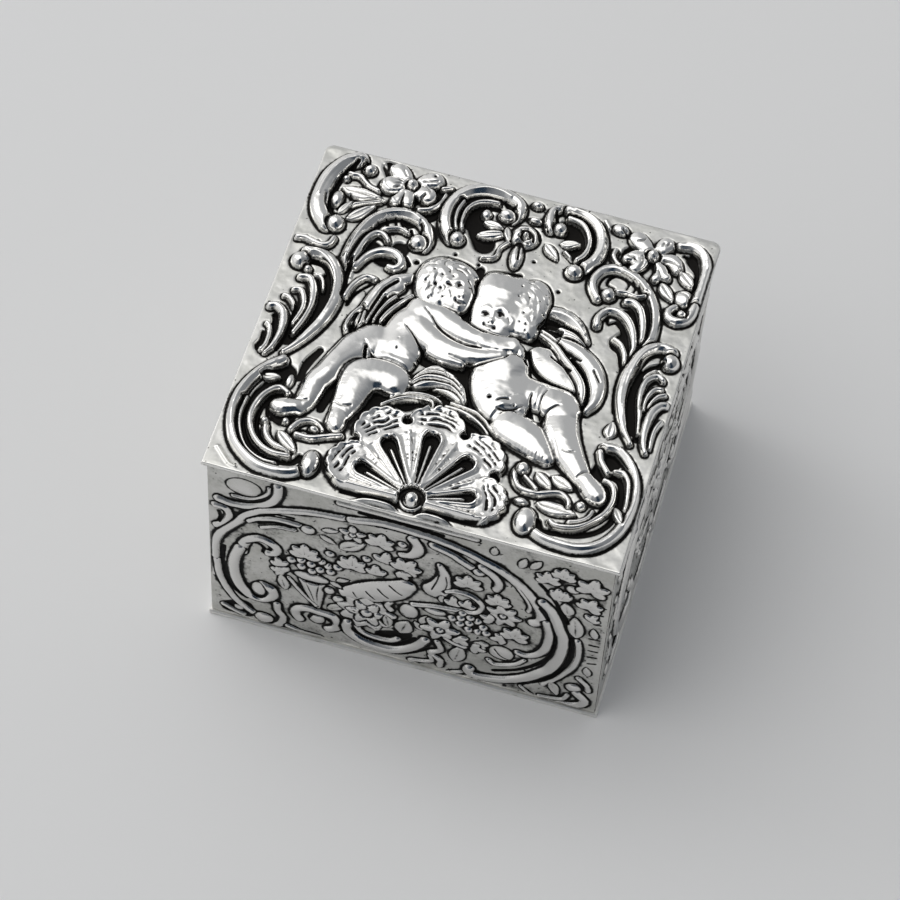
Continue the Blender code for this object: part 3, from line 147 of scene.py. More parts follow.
# Each line of a design is: kind, sizes, rise, places. A line that starts with spaces goes on from the
# one above it. Places are per cent of the face, from its lower left corner; sizes are per cent of its
# width, and rises are shares of the sheet's relief.
#
# These run through their places, a slash starts another one, and their sizes are half widths set
# evenly along them:
#   band    a raised strip              edge    a thin ridge on what is there
#   cut     a groove                    pool    a broad dark hollow
#   limb    a rounded part of a figure or flower, laid by the next join
# These stand at each of their places:
#   boss    an oval: half width, half height, turn
#   leaf    an oval with a point and a crease: half length, half width, turn
#   bump    a soft swelling on what is there: half width, half height, turn
#   pit     a small hole: half width
#   lobe    an egg, laid by the next join: left, right, back, front, turn, boxiness, fall to the front
#   sprig   a lobed leaf: length, turn, how many lobes, spread
#   flower  petals round a ball: length, turn, how many petals, half width of the ball
# These have sizes alone:
#   climb   how high the next limb stands along its length
#   firm    how much of the next limbs' height is a firm base under a flatter dome
#   join    lays the limbs and lobes so far as one: how far they run together (mm), and the moat's share
LID_DESIGN = """
# hollows under the scrolls and flowers
pool 2.2 .2 5,93 4.5,88 5,80
pool 2.4 .3 17,98 23,90 29,95
pool 2.5 .25 20,72 24,70 26,74
pool 2.0 .3 12.3,60 12.4,52 11,46 8,40
pool 2.0 .25 5,46 4.5,40 3,36
pool 2.2 .25 30,94 31,88 26,83
pool 3.0 .25 11,30 9,24 12,20 14,18
pool 3.0 .3 41,92 42,87 45,82
pool 2.6 .3 63,93 66,90 67,86 / 84,71 86,67 84,63
pool 2.0 .3 95,93 98,89 97,82
pool 2.6 .3 88,92 84,90 80,90
pool 2.2 .3 90,55 91,47 93,40
pool 2.6 .3 91,30 89,25 88,20
# left back corner: a scroll, leaves and a flower
band 2.3 .62 9,97.4 6.5,95.8 4.6,93 3.4,90 3,86.5 3,83 3.6,80 5,77.5 7,75.5
boss 2.4,2.5,0 .7 9,76.3
boss 1.8,1.8,0 .55 12.3,95
edge .5 .1 11,97.3 8.5,96.8 6,95 4.3,92 3.3,89 2.8,86 2.7,83
cut .55 .35 9,96.2 7.8,94 6.5,91 5.8,88 5.5,85 5.8,82 7,80 8.5,79.5
cut .4 .18 4.3,84 4.7,82 5.5,80.5 7,79.8
cut .5 .35 11,96.8 12,96 11,95.3
band 1,.7,1 .4 8,92 10.5,92.3 12.2,91 14,89.7 16,89.2
leaf 6,1.9,-5 .5 13,87
cut .3 .15 10,86 10.3,84.8
boss 1.6,2.6,0 .45 7.2,84
boss 1,1,0 .35 7.5,90.7
band .6 .4 11,82.8 14,84.3 17.5,86
leaf 4.2,1.6,45 .45 14,81.5
leaf 2.6,1,60 .35 9.7,82
firm .55
limb 1.1,2.2,2.5 .52 22.6,94.4 20.7,95.8 19.4,96.6
limb 1.1,2.3,2.7 .56 22.4,92.9 20.4,92.3 18.4,91.8
limb 1.2,1.8,1.6 .54 23.4,91.6 22.3,89 21,87.2
limb 1.2,1.7,1.4 .54 23.4,91.6 23.7,89 24.1,87.4
limb 1.1,2.2,2.4 .56 24.8,92.8 26.6,91.8 28,91.2
limb 1.1,2.2,2.5 .52 24.8,94.5 26.7,95.8 28.4,96.5
firm 0
join .12,1
cut .2,.3,.15 .12 21.2,93.4 20.4,93.5 19.6,93.3 / 21.2,92.6 20.3,92.3 19.5,92 / 21,91.8 20.2,91.2
  19.6,90.8
cut .15,.4,.5 .14 22.6,90 22.5,88 22.4,86.2
cut .3,.35,.2 .12 26.2,93.3 27.8,93.1 28.7,91.8
cut .3,.5 .16 27.6,91 26.9,89.6
cut .25,.2 .1 21.6,95.2 20.6,96.6 / 26,94.8 28,95.2 29.6,95.9
edge .35 .06 16.4,92.8 17.2,90.6 19,89.6 / 20,87.6 21,86.2 22,86.6 / 26.6,93.6 28.6,93.3 30,91.8
pit .5 .2 28.4,97.2
boss 1.6,1.6,0 .85 23.7,93
cut .25,.2 .1 23.8,93.6 24.2,92.6
edge .6 .2 15.3,98.6 16.8,96 17,98.6
# left: the upper scroll
band .8 .4 32.3,92.8 32,90.8 31,88.8 29.3,87.2 27.2,86.5
band 1.8,1.7,1.5 .62 14.8,66 14.8,70 15.3,74 16.5,78 18.5,81.3 21.5,83.6 25,84.3 28.5,83.3 31,81
  32,78 31.5,75.8
boss 2.4,2.4,0 .72 29.8,76.6
edge .4 .1 15,66 14.9,71 16,76 18,80.3 22,83.2 26,84 28.4,82.8
cut .4 .3 29,82 29.8,80.8 29,79.3 27.8,79 27,80.5
cut .25 .12 19,79.6 19.8,78.3 / 20.5,81.2 21.8,79 / 22.5,82.3 23.5,80 / 24,82.5 25,80.2 / 25.5,82
  26.3,80.3
band .9,.8,.6 .45 20,77.3 22,78.6 24.5,79.5 26.7,78.8
band 1.1,1,.8 .5 16.3,66 16.8,70 17.7,74 19.5,76.5 21.5,76.3 22.7,75
band 1,1.6,.9 .55 17.5,65 19.3,69 21.8,71.2 24.6,71.8 27,70.8 27.8,68.8 26.6,67.2 25,67.4
cut .4 .25 25,70 26,69 25,68.5 24.3,69
cut .6 .3 22.5,73.8 25,73.4 27.5,72.3 29.4,70
pit .7 .35 31,71.5
band .9 .4 10,71.8 9.6,70 8,68.9 5.5,69.2 3.5,69.8 1.5,69.5
pit .4 .2 6.5,70.3 3.5,70.9
# left: the plume
band 1.6,1.9,.8 .62 5,65.8 9,65.9 12,64.2 14.3,60.7 15.5,56 15.5,51.5 14.5,46.5 12.7,42 10.5,38 8.5,35.3
boss 2.4,2.5,0 .7 4.2,62.8
edge .4 .1 4.5,64.5 7,65.7 9.5,65 12,62.8 13.7,60 14.8,56 14.8,52 14,48 12.5,44 10.5,40
cut .5 .3 7.3,63.6 10,63.3 12.3,60.5 13.4,55.5 13,50
band .7,.6,.4 .4 8.7,59.3 10.3,59.5 11.4,58 12,56
boss 1.1,1.1,0 .4 6.7,61
band 1,1.2,.7 .5 5.8,58 8,58.3 9.5,56.3 10.4,53 10.5,49 10,45 9,41.5
band .8,.9,.6 .42 5.5,54 7,54.3 8.3,52.5 9,50 8.8,47 8,44
band .8,.8,.5 .38 3.8,51.5 5,51.3 6.3,50 7,48.5
band 1.1,1.3,.8 .5 1.5,47.5 3,48 5,46.5 6,43.5 6.2,40 5.6,36.5 4.3,34
band .7 .35 2.3,42.3 3.2,41.5 3.8,39 3.8,36 3.2,34.5
cut .5 .3 3,45.5 4,44 4.5,42
cut .45 .3 7.1,49.5 7.4,46 7.2,40 6.5,36
cut .45 .25 2,40 2.5,36
edge .5 .15 14.5,67 15.2,64 / 16.9,66 17.1,62
cut .5 .35 16.1,67 16,62 16.9,56
band .9 .4 23,62.8 21,63 19.2,61 18.1,58.5 17.6,55.8
cut .4 .3 22.3,61.3 20.8,59.6 19.3,57 18.6,54
# left front corner
band 1.5,1.7,1.4 .62 9.3,33 6.3,30 4,26 2.6,21.5 2.4,17 3.2,12.5 5.2,8 8.2,4.8 12,2.5 16.5,1.9
  20.5,2.8 23,5 24,8
boss 2.3,3.8,0 .72 24,6.6
edge .4 .1 8,31.2 5.2,28 3.3,24 2.2,19 2.3,15 3.3,11
band .8 .3 4.5,20 4.2,17 4.7,13 6,9.8 8.2,7 13,4.3 16,4.3
cut .35 .2 3.4,20 3.7,18 3.4,16 4,13.2 5,10.5 6.5,8 8.5,5.8 11,4.1 14,3.4 17,3.6
cut .9 .4 8,26 6.2,23 5.5,19 5.5,15 6.3,12 8,8.7 10,6.7 13,5.4 17,5.4 20,6.2 21,8
band .9,1,.8 .5 13.2,24 11,25 9,23.5 7.5,21 6.8,18 6.8,15 7.8,12 9.5,9.5 12,7.5 15,6.6 18.5,6.9
cut .5 .3 12,23.5 10.4,23.2 9.1,21.3 8.4,18.5 8.4,15.5 9.3,12.5 11.1,10 13.5,8.4 16.5,7.7 18.5,8.2
band .9 .4 11,13.8 11.5,11.8 13,10 15,8.9 18,8.6
boss 1.1,1,0 .35 10.3,15.2
leaf 3.8,1.6,-40 .42 17,11
leaf 2.4,1.2,10 .35 8,27.8
boss 1.1,2,0 .3 12.5,28
cut .4 .25 10.3,22 9.8,19 10.5,16.8 12.5,16.3
boss 1,1,0 .3 15,16.5
edge .5 .12 2,5 4,3 6,1.2 7.5,.8
band 1,.8,.7 .42 17,14.5 17.8,16.5 19.5,18 21.5,18.2 23,17.3 24,16.2
band .9 .38 18.5,13.5 22,13.5 25,14.8 28.5,16.3
boss 1.3,1,0 .42 22,16
cut .3 .2 18.5,15 20,15.6 23,15 26,16.2
# back: two scrolls, and a bud between them
band 1.8,1.9,1.5 .6 37.2,80.5 35.4,82.7 34.1,86 34.1,90 35.4,93.6 37.8,96.3 41,97.7 44.5,97.9
  48,97.2 50.5,95.6 51,93 49.8,91
boss 2,2.1,0 .68 38.5,80.9
boss 2.3,1.9,0 .68 48.3,91.4
edge .4 .1 36.2,81.7 34.8,85 34.4,89.3 35.7,93 38.2,95.8 41.5,97.4 45,97.6 47.8,96.7
cut .35 .25 46.8,95.6 48.2,94.2 49.5,94.8
band .7 .4 37.3,84 36.5,86.5 36.3,89.5 37,92.5 / 38.7,84.3 38,87 38.4,90.5 40,93 42.5,94.3 45.3,94.5
cut .35 .25 37.5,86 37.3,90 38.4,93
cut .7 .35 39.6,86 39.7,89.5 41.3,92 44.6,93.3 46.3,93.1
band .7 .35 31,94.7 33,95.6
boss 1.4,1.6,0 .4 43.3,90.6
leaf 2.7,1.2,-8 .45 45.8,87.9
leaf 4,1.4,18 .5 46.3,84.9
band .6 .35 50.7,83.8 49.8,82.5 49,81 49,79 48,77.8 45.8,77.2
boss 3.7,3.6,0 .6 54,86.8
cut .4 .25 51,88 53,90.1 56,89.6 57.6,87
cut .4 .3 53,87.5 54.5,88 56,87 56.3,85.5
cut .3 .2 52.6,85.9 54,84.9 55.5,84.6
boss 1,.9,0 .75 54.3,86.4
boss 1.7,3.9,4 .5 53.6,80.2
cut .4 .25 53.5,83.5 53.9,81 54.2,79
leaf 3,1.4,-45 .42 61.3,84.3
leaf 2.6,1.3,12 .42 65.2,88.1
band .5 .3 64.5,85.3 66.8,83.5
boss 1.5,1.2,0 .45 54.5,97.1
boss 1.8,1,0 .4 55.3,92.3
leaf 2.4,1,-70 .35 49.8,86.3
band 1.5,1.4,1.2 .58 59.6,90.8 58.7,92.5 58.4,94.5 58.8,96.6 60.5,98
band 1.6,1.8,1.9 .62 62.5,97.9 67.2,97 70.3,94.8 72.2,91.3 72.7,87.5 71.8,84 69.8,81.5 68.2,80
boss 1.9,1.9,0 .62 61.7,91.5
boss 2.3,2.2,0 .7 68.2,79.8
edge .4 .1 64,97.8 67.6,97.3 70.8,94.9 72.6,91.4 73.1,87.4 72.3,84
cut .45 .3 62.5,96.6 66,96 68.8,94 70.4,91.2 70.8,87.5 70,84.5 68.8,82.6
band .9 .42 63,95.5 66,94.9 68,93.1 69.3,90.4 69.6,87.5 69,85.1 67.9,83.7
cut .5 .3 61.8,94.3 64.5,94 66.6,92.4 67.9,90.2 68.3,87.7 67.8,85.5 66.8,83.8
cut .35 .3 59.5,96.6 59.8,95 60.7,93.8
pit .5 .25 39.3,76.8 45.5,75.5 58,80.5 66,73.5
# right: the upper scroll
band 1.3,1.5,1.2 .5 75.5,74 73.8,76.5 73.3,79 74.3,82 76.5,83.8 79.5,84 82.5,83 85.5,81 88,78
  89.8,74.5 90.8,70.5 91,66.5 90.3,63.5
boss 2,2,0 .62 77.8,75.9
edge .4 .1 79.5,83.3 82,82.5 85,80.6 87.5,77.5 89.4,73.7 90.4,69.5 90.5,65.5
cut .35 .25 77.7,82.3 76.6,80.8 76.8,79.3 78.5,78.8
cut .25 .12 80.8,82 81.8,80.7 81.5,79.3 / 82.5,81.8 83.5,80.3 83.3,78.8 / 84,81 85,79.3 84.5,78
band .8,.7,.6 .42 79.8,77.3 82,77.7 84.5,77.3 86.3,78.2
band 1.1,1.2,.8 .5 82.5,75 84,75.3 86,74 87.3,71.5 88.2,68.5 88.6,65.5 88.3,64.8
band 1.1,1.3,.7 .52 77.5,66 77.3,68.5 78.8,71 81.5,71.3 84,69.8 86,67 87.2,63.5 87.6,61 87.3,59.5
cut .4 .25 79.3,69 80,67.8 81.5,68.8 83.5,67 85,64.3 86.3,61.5
band .8 .4 82.5,63.3 84.3,62.3 85.8,60 86.5,57.5
cut .4 .3 82.8,61.8 84.5,60 85.5,57.5 86.3,55 86.3,50 86.8,46 87.6,43
# right back corner: a flower, leaves and a scroll
firm .55
limb 1.1,2.2,2.4 .54 84.4,91.6 82.4,93 80.6,94.5
limb 1.1,2,2.3 .52 86,92 86.9,93.6 87.6,94.8
limb 1,1.8,1.2 .54 84,89.7 81.5,89.2 79.3,87.8
limb 1,2,1.6 .54 84,89.4 82.7,87.2 81.9,85.6
limb 1,2,1.6 .52 87,90.4 90.3,90.5 91.8,88.5
limb .9,1.7,1.2 .52 86.8,88.6 88.5,86.3 87.4,84
limb 1,1.3 .5 88.3,86.2 89.9,85.1
firm 0
join .12,1
cut .25,.3,.2 .12 79.8,88.2 81,88 82,87.2
cut .25,.35,.2 .12 83,89 83.5,87 83.1,85.6
cut .5,.4 .14 79.6,86.3 81,86
cut .25,.3,.15 .12 88.2,89.6 90,89.4 91.8,89.1
cut .2,.3 .12 86.8,93.6 87.1,94.6 / 87.8,93.9 88.3,94.8
cut .2,.3,.2 .1 80.6,93.2 82,93.8 82.4,95
cut .3,.4 .12 87.6,86.4 88.6,84.6
edge .35 .06 78.4,94 79.2,92.4 81,91.6 / 80.6,85 82,83.8 83.4,84.6 / 90,87.4 91.6,87 92.8,88.4
boss 1.7,1.7,0 .82 85.3,90.2
pit .35 .2 85.9,90.1
leaf 3.3,1.7,-45 .42 95,86
boss 2.7,2.6,0 .42 95.6,80.5
cut .25 .12 94.3,81.8 96,81.2 97,79.6
leaf 3.3,1.6,-50 .42 91,81
band .9,.8,.6 .4 76.2,89.5 76,87.8 77,86.2 78.3,85.4
boss 2.2,1.7,-10 .42 75.8,96.2
cut .35 .2 76.3,96 77.8,95
edge .6 .2 71.5,98 73,96
band 1.3,1.6,1.4 .52 91,95.8 94.3,96.2 97,94.4 98.4,91 98.8,87 98.7,82.5 98.4,79.5
band 1.4,1.4,1.1 .5 98.6,78.5 98.3,76.5 97.3,74.2 95.3,73 93.3,73.6 92.8,75.5 94,77
boss 1.3,1.3,0 .5 96,75.4
cut .35 .25 94.6,76.2 94.4,75 95.5,74.2 97.4,74.3
edge .4 .1 92.5,96.6 95.3,96.4 97.8,94 99,90.5
cut .5 .3 92.5,93.6 95,93 96.4,91 97,88 97,84
# right: the plume
band 1.5,1.8,.8 .62 96.8,63.8 94.3,64.4 91.5,63 89.7,60.4 88.8,57 88.1,54 87.9,50 88.4,46 89.6,42
  91.1,38.5 93.5,35
boss 2.3,2.5,0 .7 97,60.6
edge .4 .1 93,63.6 90.8,61 89.5,57.4 88.9,53 89,48.5 89.7,44 91.3,40
cut .8 .38 95.3,59.8 93,58.3 91.3,55.5 90.8,52 91,48 92,44 93.5,40.5 94.5,37
band .6,.5,.4 .35 94.2,57.2 92.8,56 92,54.8
band .9,1.1,.7 .5 96.5,55 95,55.8 93,54 92.4,51 92.7,48 93.3,45 94,42 94.8,38.5
band .8,.8,.5 .4 96.8,52.3 95.5,52 94.4,50 94,47.5 94.2,45.5
band .7,.7,.5 .38 98,51 96.5,50 95.5,48 95.2,46.5
band 1,1.3,.8 .5 99.2,48.3 97.9,47.9 96.6,46 96,43 96,39.5 96.5,36 97.5,33.5
band .7,.7,.5 .35 99,43.3 98.2,41 98,38 98.3,35
leaf 2.4,1.6,90 .4 88.3,37.5
# right front corner
band 1.3,1.5,1.3 .6 88,32 91.5,32.1 94.8,29.3 97.1,25.5 98.2,21 98.3,16.5 97.5,11.5 95.8,7.6
  92.9,4.4 89,2.7 84.5,2.6 80.5,3.2 77,5
boss 2.8,3.9,0 .72 75.8,6.6
edge .4 .1 92.3,31.9 95.3,29.3 97.7,25.3 98.8,21 98.9,16.5 98.1,11.3
band .9,.8,.6 .42 91.8,25.8 94,26.3 95.8,24.3 96.6,21 97,17 96.2,14
cut .8 .4 91.5,25 93.6,24.5 95,21.8 95.5,18 95,13.7 93.6,10.8 91.3,8.4 88,6.8 84,6 80,5.8 78.7,7.7
band .8,.9,.8 .48 90.5,22.8 92.3,22.3 93.5,20 93.7,17 92.7,13.7 90.8,11.2 88,8.5 85,7.4 82.5,7.3 81.3,8
cut .5 .3 91,21 92,19 92,16 91,13.2 89.2,10.5 86.4,8.9 83.3,8.5
band .7 .35 90,13.7 89.5,11.8 87.8,10.2 85.5,9.2
leaf 5,1.9,-4 .42 81.8,12
leaf 2.6,1.2,-60 .35 96,14.5
band .9,.9,.7 .42 70.5,21.5 70,18.5 71.5,15.5 74,14.5 77,14.7 79.5,15.8 82,16.3 83.8,15 84.3,13.5
boss 1.7,1.9,0 .45 71.5,20.7
band .6 .35 72.5,18.5 74.5,17 76,15.8
leaf 3,1.5,-40 .4 77,18.8
leaf 3.2,1.6,-25 .38 81.3,19.5
boss 1.8,1.1,0 .3 73.5,11.7
boss 1.3,1.3,0 .3 87,14.7
band 1 .38 87.5,30.6 88.5,28 90.5,25.5
# hollows round the shell and the cloth
pool 3.4 .35 33,28 34.5,25 34,23
pool 2.4 .35 34.4,31 36,27.4 35.4,22.6
pool 1.8,2.4,2 .3 41,44 45.5,43.5 50.5,43.5
pool 3.4 .35 40,31.5 43,36 47,39 51,39
pool 3 .35 46,31.5 51,33 55,31 58,28.5
pool 1.8 .3 50.5,43 52.6,38.4 55,33.6
"""

SHELL_FOOT = """
band .6,1,.6 .34 35.6,-.4 40,.7 44,.9 47.6,-.6 / 50.4,-.5 54,.9 57.4,.6 60.4,-.5
cut .35 .2 33,1.6 40,1.7 47,1.6 / 51.5,1.6 58,1.9 64,2.3 67,3.2
"""

